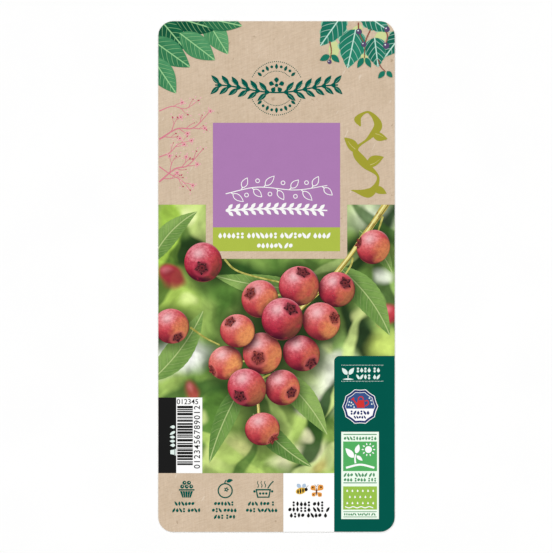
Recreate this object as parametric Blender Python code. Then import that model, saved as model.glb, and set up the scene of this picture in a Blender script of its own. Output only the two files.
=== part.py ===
"""A printed plant label: a stiff card with rounded corners that lies face up.

Units are metres. The card's underside is at z = 0, its middle is on the z axis and its top edge points
along +Y. The board carries its print as thin films: kraft grounds, a picture of pink blueberries, a
title panel, side panels and leaf ornaments. A film lies on the highest film below it.
"""

import math

import bpy
from mathutils import Vector
from mathutils.geometry import intersect_line_line_2d

MM = 0.001

# The card and its layers
CARD_WIDTH = 100.0 * MM
CARD_LENGTH = 216.0 * MM
CORNER_RADIUS = 6.2 * MM
BACK_THICKNESS = 0.08 * MM
BOARD_THICKNESS = 0.46 * MM
FILM_THICKNESS = 0.03 * MM
CLEARANCE = 0.02 * MM
FILM_PITCH = FILM_THICKNESS + CLEARANCE
FIRST_FILM = BACK_THICKNESS + BOARD_THICKNESS + 2 * CLEARANCE

# Edges of the printed grounds
LEFT = -CARD_WIDTH / 2
RIGHT = CARD_WIDTH / 2
TOP = CARD_LENGTH / 2
BOTTOM = -CARD_LENGTH / 2
HEADER_BOTTOM = 30.4 * MM
FRAME_HALF_WIDTH = 29.9 * MM
FRAME_BOTTOM = 7.5 * MM
PICTURE_BOTTOM = -83.2 * MM
SIDE_PANEL_LEFT = 24.4 * MM
SIDE_PANEL_TOP = -33.6 * MM
SIDE_PANEL_CORNER = 2.3 * MM
FOOTER_TILE_LEFT = 2.9 * MM
CODE_TOP = -51.2 * MM
CODE_STRIP_RIGHT = -42.4 * MM
CODE_TILE_RIGHT = -31.4 * MM

# The title block
TITLE_HALF_WIDTH = 26.9 * MM
TITLE_TOP = 65.0 * MM
CAPTION_TOP = 20.8 * MM
CAPTION_BOTTOM = 10.7 * MM

# The badges on the side panel
BADGE_LEFT = 27.4 * MM
BADGE_RIGHT = 43.3 * MM
BADGE_TOP = -65.7 * MM
BADGE_BOTTOM = -102.6 * MM
BADGE_MARGIN = 0.8 * MM
BADGE_SQUARES = {
    "badge_square_upper": (-69.8 * MM, -82.3 * MM),
    "badge_square_lower": (-88.8 * MM, -98.6 * MM),
}
SEAL_CENTRE = (35.4 * MM, -55.0 * MM)
SEAL_RADIUS = 7.6 * MM
SEAL_STEPS = 60
SEAL_SCALLOPS = 10
SEAL_DEPTH = 0.07

# The fine sprig and the leaf row on the title panel, with courses in millimetres.
# A leaf on any stem is given as its length, width and angle in degrees.
SPRIG_COURSE = [(-21.5, 35.0), (-8.0, 37.8), (8.0, 36.6), (21.5, 38.5)]
SPRIG_THICKNESS = 0.6 * MM
SPRIG_LEAF = (6.6 * MM, 2.6 * MM, 42)
SPRIG_LEAF_PLACES = range(2, 17, 2)
LEAF_ROW_HALF_LENGTH = 21.5
LEAF_ROW_HEIGHT = 27.9
LEAF_ROW_RISE = 0.8
LEAF_ROW_STEPS = 40
LEAF_ROW_THICKNESS = 0.7 * MM
LEAF_ROW_TAPER = 0.2
LEAF_ROW_LEAF = (3.0 * MM, 1.5 * MM, 48)
LEAF_ROW_PLACES = range(2, 39, 3)

# The garland across the header, with a spine sample at each millimetre and a bare middle
GARLAND_HALF_LENGTH = 26
GARLAND_HEIGHT = 79.4
GARLAND_SAG = 1.6
GARLAND_THICKNESS = 0.9 * MM
GARLAND_LEAF_SIZE = (5.6 * MM, 2.6 * MM)
GARLAND_LEAF_ANGLE = 45
GARLAND_LEAF_STEP = 4
GARLAND_BARE_HALF = 3

# The olive tendril and the pink twigs, with courses in millimetres
TENDRIL_COURSE = [
    (31.5, 36.5), (39.5, 35.5), (43.0, 42.0), (37.5, 47.5), (33.5, 53.5), (39.0, 58.5), (43.0, 64.0),
    (39.0, 69.5), (34.5, 67.0), (35.5, 63.5),
]
TENDRIL_THICKNESS = 3.0 * MM
TENDRIL_TAPER = 0.72
TENDRIL_LEAVES = {
    (20, 1): (8.0 * MM, 4.6 * MM, 62),
    (29, -1): (7.6 * MM, 4.4 * MM, 62),
    (36, 1): (6.4 * MM, 3.8 * MM, 62),
}
TWIG_COURSES = {
    "blossom_twig_1": [(-49.5, 58.0), (-42.0, 62.5), (-35.0, 63.0), (-28.0, 70.0)],
    "blossom_twig_2": [(-49.5, 40.0), (-43.0, 45.5), (-37.5, 47.0), (-31.0, 54.0)],
}
TWIG_THICKNESS = 0.5 * MM
TWIG_LEAF = (2.6 * MM, 1.2 * MM, 55)
TWIG_LEAF_PLACES = range(3, 15, 2)

# The three signs in the footer
SIGN_HEIGHT = -90.2 * MM
SIGN_SIZE = 3.4 * MM
BASKET_X = -38.0 * MM
FRUIT_X = -21.7 * MM
POT_X = -5.6 * MM

# Blueberries, back to front, as x, y and radius in millimetres
BERRIES = [
    (25.5, -5.5, 7.8), (-7.0, -9.5, 8.0), (10.5, -32.5, 8.0), (-21.5, -36.5, 7.4), (2.5, -47.0, 7.6),
    (-6.0, -64.5, 7.4), (-31.0, 6.0, 8.4), (-44.5, -21.0, 7.6), (41.0, 12.5, 7.4), (19.0, -19.0, 8.2),
    (9.5, -4.0, 8.6), (-6.0, -32.5, 8.8), (-16.5, -23.0, 7.4), (2.5, -18.0, 9.0), (-12.5, -47.0, 8.4),
]

# Picture leaves as base x, y, tip x, y, width and bow in millimetres
PICTURE_LEAVES = [
    (35.0, 19.5, 49.0, 1.5, 8.0, 1.5), (26.0, 4.0, 48.0, -25.0, 12.0, 2.5),
    (13.0, -5.0, -26.5, 0.5, 9.5, 1.5),
    (-13.0, -44.0, -28.5, -79.0, 9.0, -1.5), (-1.0, -40.0, 21.5, -67.0, 11.0, 2.0),
    (-53.0, -44.0, -31.0, -14.5, 11.5, -2.0), (-10.0, -58.0, 15.0, -80.5, 9.0, -2.0),
    (-53.0, 6.0, -33.5, 27.5, 9.0, 2.5),
]
STEM_COURSE = [
    (48.0, 33.0), (37.0, 17.0), (25.0, 1.0), (12.0, -12.0), (0.0, -26.0), (-8.0, -42.0), (-7.5, -58.0),
]
STEM_THICKNESS = 2.6 * MM

# Leaves of the two corner sprays, as base x, y, tip x, y and width in millimetres
OVAL_LEAVES = [
    (-52.0, 112.0, -38.5, 96.0, 11.0), (-30.5, 110.0, -20.5, 94.0, 9.5), (-44.0, 110.0, -25.5, 104.5, 10.0),
    (-41.0, 103.0, -26.0, 91.5, 10.0), (-54.0, 101.0, -36.5, 88.5, 10.5), (-33.0, 110.0, -14.5, 106.0, 8.5),
    (-53.0, 93.0, -42.5, 77.5, 9.5),
]
ROUND_LEAVES = [
    (28.0, 111.0, 18.5, 97.5, 11.5), (36.0, 112.0, 48.0, 103.5, 10.0), (33.5, 104.5, 30.0, 88.0, 13.0),
    (41.5, 101.0, 43.0, 88.5, 10.5), (54.0, 104.0, 46.0, 93.0, 9.0),
]

# How finely outlines are drawn, and how leaves swell along their length
ARC_STEPS = 8
DISC_STEPS = 40
LEAF_STEPS = 9
LONG_SPAN_STEPS = 6
SHORT_SPAN_STEPS = 5
LEAF_SHARPNESS = 0.9
LEAF_WIDEST = 0.42
OVAL_LEAF_WIDEST = 0.45
ROUND_LEAF_WIDEST = 0.36
PETIOLE = 0.08
LEAST_STEP = 0.002 * MM


def srgb(red, green, blue):
    """A linear colour from screen values of 0 to 255."""
    shares = [value / 255 for value in (red, green, blue)]
    return tuple(((v + 0.055) / 1.055) ** 2.4 if v > 0.04045 else v / 12.92 for v in shares)


KRAFT = srgb(212, 188, 164)
BOARD_WHITE = srgb(244, 243, 238)
PLUM = srgb(171, 124, 176)
LIME = srgb(171, 187, 66)
BOTTLE_GREEN = srgb(4, 88, 75)
INK_BLACK = srgb(34, 34, 34)
BADGE_GREEN = srgb(84, 175, 97)
LEAF_LIME = srgb(152, 194, 78)
OLIVE = srgb(160, 158, 52)
LEAF_GREEN = srgb(44, 128, 72)
TEAL_LEAF = srgb(26, 118, 92)
BLOSSOM_PINK = srgb(214, 122, 142)
BERRY_PINK = srgb(198, 66, 84)
MEADOW = srgb(140, 172, 84)
STRAW = srgb(196, 178, 92)


def outline_of(corners):
    """A closed outline through corners given as x, y and radius, with an arc at each round one."""
    points = []
    for index, (x, y, radius) in enumerate(corners):
        corner = Vector((x, y))
        if radius == 0:
            points.append(corner)
            continue
        before = (Vector(corners[index - 1][:2]) - corner).normalized()
        after = (Vector(corners[(index + 1) % len(corners)][:2]) - corner).normalized()
        half_angle = before.angle(after) / 2
        centre = corner + (before + after).normalized() * radius / math.sin(half_angle)
        reach = radius / math.tan(half_angle)
        first = corner + before * reach - centre
        last = corner + after * reach - centre
        for step in range(ARC_STEPS + 1):
            points.append(centre + first.slerp(last, step / ARC_STEPS).normalized() * radius)
    return points


def rectangle(left, right, bottom, top):
    """A plain rectangle's outline."""
    return outline_of([(left, bottom, 0), (right, bottom, 0), (right, top, 0), (left, top, 0)])


def circle_outline(x, y, radius, steps=DISC_STEPS, scallops=0, depth=0.0):
    """A circle, or with scallops a rosette whose edge waves by depth times its radius."""
    points = []
    for step in range(steps):
        angle = 2 * math.pi * step / steps
        reach = radius * (1 + depth * math.cos(scallops * angle))
        points.append(Vector((x + reach * math.cos(angle), y + reach * math.sin(angle))))
    return points


def leaf_outline(base, tip, width, widest=LEAF_WIDEST, bow=0.0):
    """A pointed leaf, broadest at the share widest of its length, with its midrib bowed sideways."""
    axis = tip - base
    side = axis.orthogonal().normalized()
    power = math.log(0.5) / math.log(widest)
    left, right = [], []
    for step in range(LEAF_STEPS + 1):
        share = step / LEAF_STEPS
        rib = base + axis * share + side * (4 * bow * share * (1 - share))
        half = width / 2 * max(0.0, math.sin(math.pi * share ** power)) ** LEAF_SHARPNESS
        left.append(rib + side * half)
        right.append(rib - side * half)
    return left + right[-2:0:-1]


def smooth_course(points, steps):
    """A smooth open path through points, as a Catmull-Rom curve with steps samples a span."""
    ends = [2 * points[0] - points[1]] + points + [2 * points[-1] - points[-2]]
    path = []
    for a, b, c, d in zip(ends, ends[1:], ends[2:], ends[3:]):
        for step in range(steps):
            t = step / steps
            path.append(0.5 * (2 * b + (c - a) * t + (2 * a - 5 * b + 4 * c - d) * t * t
                               + (3 * b - a - 3 * c + d) * t ** 3))
    return path + [points[-1]]


def sprig_outline(spine, thickness, leaves, taper=0.6):
    """A tapering stem with leaves, as one closed loop: up its left side, round the tip and down its right.

    leaves maps a place on the spine's left (+1) or right (-1) side to a leaf's length, width and angle.
    """
    last = len(spine) - 1
    loop = []
    for side, order in ((1, range(last + 1)), (-1, range(last, -1, -1))):
        for index in order:
            tangent = (spine[min(index + 1, last)] - spine[max(index - 1, 0)]).normalized()
            normal = Vector((-tangent.y, tangent.x)) * side
            edge = spine[index] + normal * thickness / 2 * (1 - taper * index / last)
            if (index, side) in leaves:
                length, width, angle = leaves[index, side]
                heading = tangent * math.cos(math.radians(angle)) + normal * math.sin(math.radians(angle))
                foot = edge + heading * PETIOLE * length
                loop += leaf_outline(foot, edge + heading * length, width)[1:]
            else:
                loop.append(edge)
    return loop


def clip(outline, window):
    """The part of an outline inside a convex window whose points run anticlockwise."""
    for start, end in zip(window, window[1:] + window[:1]):
        kept = []
        for here, ahead in zip(outline, outline[1:] + outline[:1]):
            depth, next_depth = (end - start).cross(here - start), (end - start).cross(ahead - start)
            if depth >= 0:
                kept.append(here)
            if (depth >= 0) != (next_depth >= 0):
                kept.append(here.lerp(ahead, depth / (depth - next_depth)))
        outline = kept
    return outline


def inside(point, outline):
    """True where a ray from the point crosses the outline an odd number of times."""
    crossings = 0
    for a, b in zip(outline, outline[1:] + outline[:1]):
        if (a.y > point.y) != (b.y > point.y):
            crossings += point.x < a.x + (b.x - a.x) * (point.y - a.y) / (b.y - a.y)
    return crossings % 2 == 1


def overlap(one, other):
    """True where two outlines share ground."""
    for axis in (0, 1):
        if max(p[axis] for p in one) < min(p[axis] for p in other):
            return False
        if max(p[axis] for p in other) < min(p[axis] for p in one):
            return False
    for a, b in zip(one, one[1:] + one[:1]):
        for c, d in zip(other, other[1:] + other[:1]):
            if intersect_line_line_2d(a, b, c, d):
                return True
    return inside(one[0], other) or inside(other[0], one)


def start_scene(name):
    """Empties the scene and gives it one collection for the label."""
    for thing in list(bpy.data.objects):
        bpy.data.objects.remove(thing, do_unlink=True)
    collection = bpy.data.collections.new(name)
    bpy.context.scene.collection.children.link(collection)
    return collection


def give_finish(piece, colour, roughness):
    """A Principled material of the piece's own."""
    material = bpy.data.materials.new(piece.name + "_finish")
    material.use_nodes = True
    shader = material.node_tree.nodes["Principled BSDF"]
    shader.inputs["Base Color"].default_value = (*colour, 1.0)
    shader.inputs["Roughness"].default_value = roughness
    shader.inputs["Metallic"].default_value = 0.0
    material.diffuse_color = (*colour, 1.0)
    piece.data.materials.append(material)


def plate(collection, name, outline, base, thickness, colour, roughness=0.5):
    """A flat piece with the given outline, from the height base upwards."""
    neighbours = zip(outline, outline[-1:] + outline[:-1])
    points = [point for point, before in neighbours if (point - before).length > LEAST_STEP]
    curve = bpy.data.curves.new(name, "CURVE")
    curve.dimensions = "2D"
    curve.fill_mode = "BOTH"
    curve.extrude = thickness / 2
    spline = curve.splines.new("POLY")
    spline.points.add(len(points) - 1)
    for spot, point in zip(spline.points, points):
        spot.co = (point.x, point.y, 0.0, 1.0)
    spline.use_cyclic_u = True
    piece = bpy.data.objects.new(name, curve)
    piece.location.z = base + thickness / 2
    collection.objects.link(piece)
    give_finish(piece, colour, roughness)
    return piece


def disc(collection, name, x, y, radius, base, colour, roughness):
    """A round film, as a low cylinder."""
    bpy.ops.mesh.primitive_cylinder_add(
        vertices=DISC_STEPS, radius=radius, depth=FILM_THICKNESS, location=(x, y, base + FILM_THICKNESS / 2))
    piece = bpy.context.active_object
    piece.name = name
    for holder in list(piece.users_collection):
        holder.objects.unlink(piece)
    collection.objects.link(piece)
    give_finish(piece, colour, roughness)
    return piece


class Print:
    """The films laid so far, each with its outline and its level above the board."""

    def __init__(self, collection):
        self.collection = collection
        self.laid = []

    def height_for(self, outline):
        """Records the outline and gives the height at which its film starts."""
        level = max((above + 1 for laid, above in self.laid if overlap(outline, laid)), default=0)
        self.laid.append((outline, level))
        return FIRST_FILM + level * FILM_PITCH

    def lay(self, name, outline, colour, roughness=0.5):
        """Lays one film of any outline."""
        plate(self.collection, name, outline, self.height_for(outline), FILM_THICKNESS, colour, roughness)

    def lay_disc(self, name, x, y, radius, window, colour, roughness=0.4):
        """Lays a round film, cut off where it would leave the window."""
        outline = circle_outline(x, y, radius)
        kept = clip(outline, window)
        base = self.height_for(kept)
        if len(kept) == len(outline) and kept[0] == outline[0]:
            disc(self.collection, name, x, y, radius, base, colour, roughness)
        else:
            plate(self.collection, name, kept, base, FILM_THICKNESS, colour, roughness)


def millimetres(*values):
    """A point from its millimetres."""
    return Vector(values) * MM


def card_outline():
    """The label's own outline, anticlockwise."""
    r = CORNER_RADIUS
    return outline_of([(LEFT, BOTTOM, r), (RIGHT, BOTTOM, r), (RIGHT, TOP, r), (LEFT, TOP, r)])


def build_board(collection):
    """The kraft backing sheet and the white board on it."""
    card = card_outline()
    plate(collection, "back_sheet", card, 0.0, BACK_THICKNESS, KRAFT, 0.85)
    plate(collection, "card_core", card, BACK_THICKNESS + CLEARANCE, BOARD_THICKNESS, BOARD_WHITE, 0.6)


def lay_grounds(print_run):
    """The seven grounds that cover the board edge to edge, a hair apart from each other."""
    seam, r = CLEARANCE, CORNER_RADIUS
    print_run.lay("header_kraft", outline_of([
        (LEFT, HEADER_BOTTOM, 0), (-FRAME_HALF_WIDTH, HEADER_BOTTOM, 0), (-FRAME_HALF_WIDTH, FRAME_BOTTOM, 0),
        (FRAME_HALF_WIDTH, FRAME_BOTTOM, 0), (FRAME_HALF_WIDTH, HEADER_BOTTOM, 0), (RIGHT, HEADER_BOTTOM, 0),
        (RIGHT, TOP, r), (LEFT, TOP, r)]), KRAFT, 0.6)
    notch, sky, floor = FRAME_HALF_WIDTH + seam, HEADER_BOTTOM - seam, PICTURE_BOTTOM + seam
    print_run.lay("picture_panel", outline_of([
        (LEFT, sky, 0), (LEFT, CODE_TOP + seam, 0), (CODE_TILE_RIGHT + seam, CODE_TOP + seam, 0),
        (CODE_TILE_RIGHT + seam, floor, 0), (SIDE_PANEL_LEFT - seam, floor, 0),
        (SIDE_PANEL_LEFT - seam, SIDE_PANEL_TOP + seam, SIDE_PANEL_CORNER + seam),
        (RIGHT, SIDE_PANEL_TOP + seam, 0), (RIGHT, sky, 0), (notch, sky, 0), (notch, FRAME_BOTTOM - seam, 0),
        (-notch, FRAME_BOTTOM - seam, 0), (-notch, sky, 0)]), MEADOW)
    print_run.lay("side_panel", outline_of([
        (SIDE_PANEL_LEFT, BOTTOM, 0), (RIGHT, BOTTOM, r), (RIGHT, SIDE_PANEL_TOP, 0),
        (SIDE_PANEL_LEFT, SIDE_PANEL_TOP, SIDE_PANEL_CORNER)]), BOTTLE_GREEN)
    print_run.lay("footer_kraft", outline_of([
        (LEFT, BOTTOM, r), (FOOTER_TILE_LEFT - seam, BOTTOM, 0), (FOOTER_TILE_LEFT - seam, PICTURE_BOTTOM, 0),
        (LEFT, PICTURE_BOTTOM, 0)]), KRAFT, 0.6)
    print_run.lay("footer_tile", rectangle(
        FOOTER_TILE_LEFT, SIDE_PANEL_LEFT - seam, BOTTOM, PICTURE_BOTTOM), BOARD_WHITE)
    print_run.lay("code_strip", rectangle(
        LEFT, CODE_STRIP_RIGHT - seam, PICTURE_BOTTOM + seam, CODE_TOP), INK_BLACK)
    print_run.lay("code_tile", rectangle(
        CODE_STRIP_RIGHT, CODE_TILE_RIGHT, PICTURE_BOTTOM + seam, CODE_TOP), BOARD_WHITE)


def lay_title(print_run):
    """The plum title panel over its lime caption band, with a fine sprig and a bold leaf row on the panel."""
    print_run.lay("title_panel", rectangle(
        -TITLE_HALF_WIDTH, TITLE_HALF_WIDTH, CAPTION_TOP + CLEARANCE, TITLE_TOP), PLUM)
    print_run.lay("caption_band", rectangle(
        -TITLE_HALF_WIDTH, TITLE_HALF_WIDTH, CAPTION_BOTTOM, CAPTION_TOP), LIME)
    spine = smooth_course([millimetres(*spot) for spot in SPRIG_COURSE], LONG_SPAN_STEPS)
    leaves = {(place, 1 if place % 4 == 2 else -1): SPRIG_LEAF for place in SPRIG_LEAF_PLACES}
    print_run.lay("title_sprig", sprig_outline(spine, SPRIG_THICKNESS, leaves), BOARD_WHITE)
    spine = []
    for place in range(LEAF_ROW_STEPS + 1):
        share = place / LEAF_ROW_STEPS
        rise = LEAF_ROW_RISE * math.sin(math.pi * share)
        spine.append(millimetres(LEAF_ROW_HALF_LENGTH * (2 * share - 1), LEAF_ROW_HEIGHT + rise))
    leaves = {(place, side): LEAF_ROW_LEAF for place in LEAF_ROW_PLACES for side in (1, -1)}
    row = sprig_outline(spine, LEAF_ROW_THICKNESS, leaves, LEAF_ROW_TAPER)
    print_run.lay("title_leaf_row", row, BOARD_WHITE)


def lay_badges(print_run):
    """The scalloped seal and the white badge tile with its two green squares."""
    print_run.lay("seal_rosette", circle_outline(
        *SEAL_CENTRE, SEAL_RADIUS, SEAL_STEPS, SEAL_SCALLOPS, SEAL_DEPTH), BOARD_WHITE)
    print_run.lay("badge_tile", rectangle(BADGE_LEFT, BADGE_RIGHT, BADGE_BOTTOM, BADGE_TOP), BOARD_WHITE)
    for name, (top, bottom) in BADGE_SQUARES.items():
        colour = BADGE_GREEN if name.endswith("upper") else LEAF_LIME
        square = rectangle(BADGE_LEFT + BADGE_MARGIN, BADGE_RIGHT - BADGE_MARGIN, bottom, top)
        print_run.lay(name, square, colour)


def lay_picture(print_run, card):
    """The picture's sharp things: long leaves, the stem that hangs in from the top right, and the berries."""
    window = clip(card, rectangle(LEFT, RIGHT, PICTURE_BOTTOM, HEADER_BOTTOM - CLEARANCE))
    for number, (x0, y0, x1, y1, width, bow) in enumerate(PICTURE_LEAVES, 1):
        leaf = leaf_outline(millimetres(x0, y0), millimetres(x1, y1), width * MM, bow=bow * MM)
        print_run.lay(f"picture_leaf_{number}", clip(leaf, window), LEAF_LIME if number % 2 else LEAF_GREEN)
    spine = smooth_course([millimetres(*spot) for spot in STEM_COURSE], SHORT_SPAN_STEPS)
    print_run.lay("picture_stem", clip(sprig_outline(spine, STEM_THICKNESS, {}), window), STRAW)
    for number, (x, y, radius) in enumerate(BERRIES, 1):
        print_run.lay_disc(f"berry_{number:02d}", x * MM, y * MM, radius * MM, window, BERRY_PINK)


def lay_corner_sprays(print_run, card):
    """Oval leaves in the upper left corner and rounder teal ones in the upper right."""
    sprays = (
        ("oval_leaf", OVAL_LEAVES, OVAL_LEAF_WIDEST, LEAF_GREEN),
        ("round_leaf", ROUND_LEAVES, ROUND_LEAF_WIDEST, TEAL_LEAF),
    )
    for name, leaves, widest, colour in sprays:
        for number, (x0, y0, x1, y1, width) in enumerate(leaves, 1):
            leaf = leaf_outline(millimetres(x0, y0), millimetres(x1, y1), width * MM, widest)
            print_run.lay(f"{name}_{number}", clip(leaf, card), colour)


def lay_garland(print_run):
    """The garland, whose leaves point away from its middle on both halves."""
    spine, leaves = [], {}
    for place in range(2 * GARLAND_HALF_LENGTH + 1):
        sag = GARLAND_SAG * math.cos(math.pi * place / GARLAND_HALF_LENGTH)
        spine.append(millimetres(place - GARLAND_HALF_LENGTH, GARLAND_HEIGHT - sag))
    for place in range(GARLAND_LEAF_STEP, 2 * GARLAND_HALF_LENGTH - 2, GARLAND_LEAF_STEP):
        if abs(place - GARLAND_HALF_LENGTH) > GARLAND_BARE_HALF:
            angle = 180 - GARLAND_LEAF_ANGLE if place < GARLAND_HALF_LENGTH else GARLAND_LEAF_ANGLE
            for side in (1, -1):
                leaves[place, side] = (*GARLAND_LEAF_SIZE, angle)
    print_run.lay("header_garland", sprig_outline(spine, GARLAND_THICKNESS, leaves, 0.0), BOTTLE_GREEN)


def lay_tendril_and_twigs(print_run):
    """The olive tendril up the right side and the pink blossom twigs from the left edge."""
    spine = smooth_course([millimetres(*spot) for spot in TENDRIL_COURSE], LONG_SPAN_STEPS)
    tendril = sprig_outline(spine, TENDRIL_THICKNESS, TENDRIL_LEAVES, TENDRIL_TAPER)
    print_run.lay("olive_tendril", tendril, OLIVE)
    leaves = {(place, 1 if place % 4 == 3 else -1): TWIG_LEAF for place in TWIG_LEAF_PLACES}
    for name, course in TWIG_COURSES.items():
        spine = smooth_course([millimetres(*spot) for spot in course], SHORT_SPAN_STEPS)
        print_run.lay(name, sprig_outline(spine, TWIG_THICKNESS, leaves), BLOSSOM_PINK)


def lay_signs(print_run):
    """Three small signs in the footer: a basket, a fruit and a pot."""
    y, size = SIGN_HEIGHT, SIGN_SIZE
    x = BASKET_X
    print_run.lay("basket_sign", outline_of([
        (x - 0.62 * size, y - size, 0.3 * size), (x + 0.62 * size, y - size, 0.3 * size),
        (x + size, y + size, 0.8 * size), (x - size, y + size, 0.8 * size)]), BOTTLE_GREEN)
    print_run.lay_disc("fruit_sign", FRUIT_X, y, size, card_outline(), BOTTLE_GREEN)
    x = POT_X
    print_run.lay("pot_sign", outline_of([
        (x - 0.8 * size, y - size, 0.4 * size), (x + 0.8 * size, y - size, 0.4 * size),
        (x + size, y + 0.5 * size, 0), (x - size, y + 0.5 * size, 0)]), BOTTLE_GREEN)


def build_label():
    """The whole label, from the backing sheet up."""
    collection = start_scene("plant_label")
    card = card_outline()
    build_board(collection)
    print_run = Print(collection)
    lay_grounds(print_run)
    lay_title(print_run)
    lay_badges(print_run)
    lay_corner_sprays(print_run, card)
    lay_garland(print_run)
    lay_tendril_and_twigs(print_run)
    lay_picture(print_run, card)
    lay_signs(print_run)


build_label()
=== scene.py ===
import random
from functools import partialmethod
from math import atan2, cos, hypot, log, pi, radians, sin, sqrt

import bpy
from mathutils import Matrix, Vector


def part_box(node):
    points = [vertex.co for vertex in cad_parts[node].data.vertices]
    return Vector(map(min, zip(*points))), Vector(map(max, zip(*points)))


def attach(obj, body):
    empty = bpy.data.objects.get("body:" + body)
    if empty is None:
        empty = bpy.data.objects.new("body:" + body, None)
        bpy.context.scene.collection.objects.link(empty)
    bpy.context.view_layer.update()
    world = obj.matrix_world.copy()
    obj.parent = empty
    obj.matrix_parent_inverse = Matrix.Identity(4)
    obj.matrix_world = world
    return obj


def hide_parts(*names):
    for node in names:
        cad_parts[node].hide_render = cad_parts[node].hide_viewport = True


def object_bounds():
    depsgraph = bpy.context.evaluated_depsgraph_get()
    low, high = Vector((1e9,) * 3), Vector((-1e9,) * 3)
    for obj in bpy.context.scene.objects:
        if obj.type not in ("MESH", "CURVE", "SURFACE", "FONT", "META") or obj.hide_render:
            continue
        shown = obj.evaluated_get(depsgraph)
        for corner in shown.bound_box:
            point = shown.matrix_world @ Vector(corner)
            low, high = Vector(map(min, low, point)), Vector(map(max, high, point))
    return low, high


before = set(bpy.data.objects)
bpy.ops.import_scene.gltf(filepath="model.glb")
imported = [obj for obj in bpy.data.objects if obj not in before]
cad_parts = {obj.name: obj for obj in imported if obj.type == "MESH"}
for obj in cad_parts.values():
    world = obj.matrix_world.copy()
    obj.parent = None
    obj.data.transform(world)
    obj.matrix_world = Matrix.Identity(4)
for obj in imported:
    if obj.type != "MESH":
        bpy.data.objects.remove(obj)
CAD_LOW, CAD_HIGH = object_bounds()

# The label's sizes, in millimetres, as its solids have them
MM = 0.001
CARD_HALF_WIDTH = 50.0
CARD_HALF_LENGTH = 108.0
CORNER_RADIUS = 6.2
CORNER_STEPS = 12
HEADER_BOTTOM = 30.4
PICTURE_BOTTOM = -83.2
SEAL = (35.4, -55.0)
SEAL_REACH = 7.6

# A detail's film is thin enough to lie on one printed field and under the next
DETAIL_FILM = 0.012
DETAIL_GAP = 0.004
DETAIL_PITCH = 0.02
STALK_DROP = 0.016
NUMBER_BOLDNESS = 0.008
CLOSEST_POINTS = 0.004
SEAM = 0.0002

# The photograph's view: a square of 553 pixels, straight down on the label
PHOTO_PIXELS = 553
LABEL_PIXELS = 510.7
LENS = 200.0
SENSOR = 36.0

# The studio: its room light, its backdrop and its softboxes as azimuth, elevation and strength
ROOM_STRENGTH = 0.42
BACKDROP = (0.95, 0.95, 0.945, 1.0)
SOFTBOXES = ((125, 48, 1.25), (35, 52, 0.55), (-50, 50, 0.45), (-140, 46, 0.35))
SOFTBOX_SPREAD = 28
FLOOR_SIZE = 6.0
FLOOR_SHADES = ((0.94, 0.94, 0.94, 1.0), (0.97, 0.97, 0.965, 1.0))

# Where the picture's daylight, its gloss and its golden side come from
SUN = Vector((-0.30, 0.62, 0.72)).normalized()
GLOSS = Vector((-0.24, 0.46, 0.87)).normalized()
GOLD_SIDE = Vector((0.62, -0.26, 0.60)).normalized()

# Flat inks by the slot of what they print: screen colour, and roughness and specular where not the usual
USUAL_GLOSS = (0.48, 0.06)
PRINTS = {
    "white_board": {"white_print": (253, 253, 252), "paper_white": (246, 246, 244),
        "mist_white": (226, 240, 234), "mint_white": (240, 252, 238), "wing_blue": (176, 196, 218)},
    "kraft_print": {"pale_kraft": (206, 184, 160)},
    "bottle_green_print": {"bottle_green": (0, 85, 73, 0.44, 0.03), "sage": (104, 158, 132)},
    "black_print": {"soft_black": (27, 27, 27, 0.48, 0.03), "navy": (42, 52, 104),
        "evening_blue": (56, 84, 136), "damson": (88, 72, 108), "umber": (92, 56, 36)},
    "berry_print": {"poppy": (206, 52, 50)},
    "plum_print": {"plum": (170, 122, 175)},
    "lime_print": {"lime": (172, 188, 72)},
    "badge_green_print": {"fresh_green": (84, 174, 97), "leaf_grey": (88, 150, 106)},
    "leaf_lime_print": {"leaf_lime": (152, 192, 76), "pale_spray": (204, 214, 150)},
    "teal_leaf_print": {"young_teal": (24, 116, 94)},
    "stem_print": {"spray_bark": (142, 74, 62), "pale_straw": (238, 228, 156),
        "moss_brown": (132, 118, 52)},
    "olive_print": {"olive": (160, 156, 50), "straw_rib": (204, 192, 120), "honey": (232, 186, 74),
        "marigold": (226, 152, 66)},
    "blossom_print": {"rose_twig": (214, 122, 142), "petal_pale": (240, 178, 190),
        "blossom_pink": (238, 156, 174), "bud_red": (188, 74, 100), "heart_red": (176, 60, 88)},
}
INKS = {name: (slot, *look) for slot, inks in PRINTS.items() for name, look in inks.items()}

# Blueberries, back to front: x, y, radius, the crown's place on the ball, how golden one side is and how
# ripe the skin is
BERRIES = [
    (25.5, -5.5, 7.8, 0.46, 0.34, 0.35, 0.75), (-7.0, -9.5, 8.0, -0.50, 0.30, 0.75, 0.40),
    (10.5, -32.5, 8.0, 0.52, -0.50, 0.30, 0.80), (-21.5, -36.5, 7.4, -0.78, -0.42, 1.00, 0.15),
    (2.5, -47.0, 7.6, 0.50, -0.28, 0.55, 0.55), (-6.0, -64.5, 7.4, 0.62, -0.58, 0.45, 0.45),
    (-31.0, 6.0, 8.4, -0.06, -0.28, 0.10, 1.00), (-44.5, -21.0, 7.6, 0.36, -0.62, 0.60, 0.60),
    (41.0, 12.5, 7.4, -0.84, 0.22, 0.55, 0.50), (19.0, -19.0, 8.2, 0.66, 0.18, 0.70, 0.45),
    (9.5, -4.0, 8.6, 0.20, 0.66, 0.35, 0.70), (-6.0, -32.5, 8.8, -0.20, -0.22, 0.65, 0.35),
    (-16.5, -23.0, 7.4, -0.42, 0.52, 0.85, 0.30), (2.5, -18.0, 9.0, 0.40, 0.48, 0.15, 0.95),
    (-12.5, -47.0, 8.4, -0.36, -0.44, 0.30, 0.85),
]
DISCS = [berry[:3] for berry in BERRIES]
BERRY_SHAPES = (0.95, 0.97, 0.93)

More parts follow.
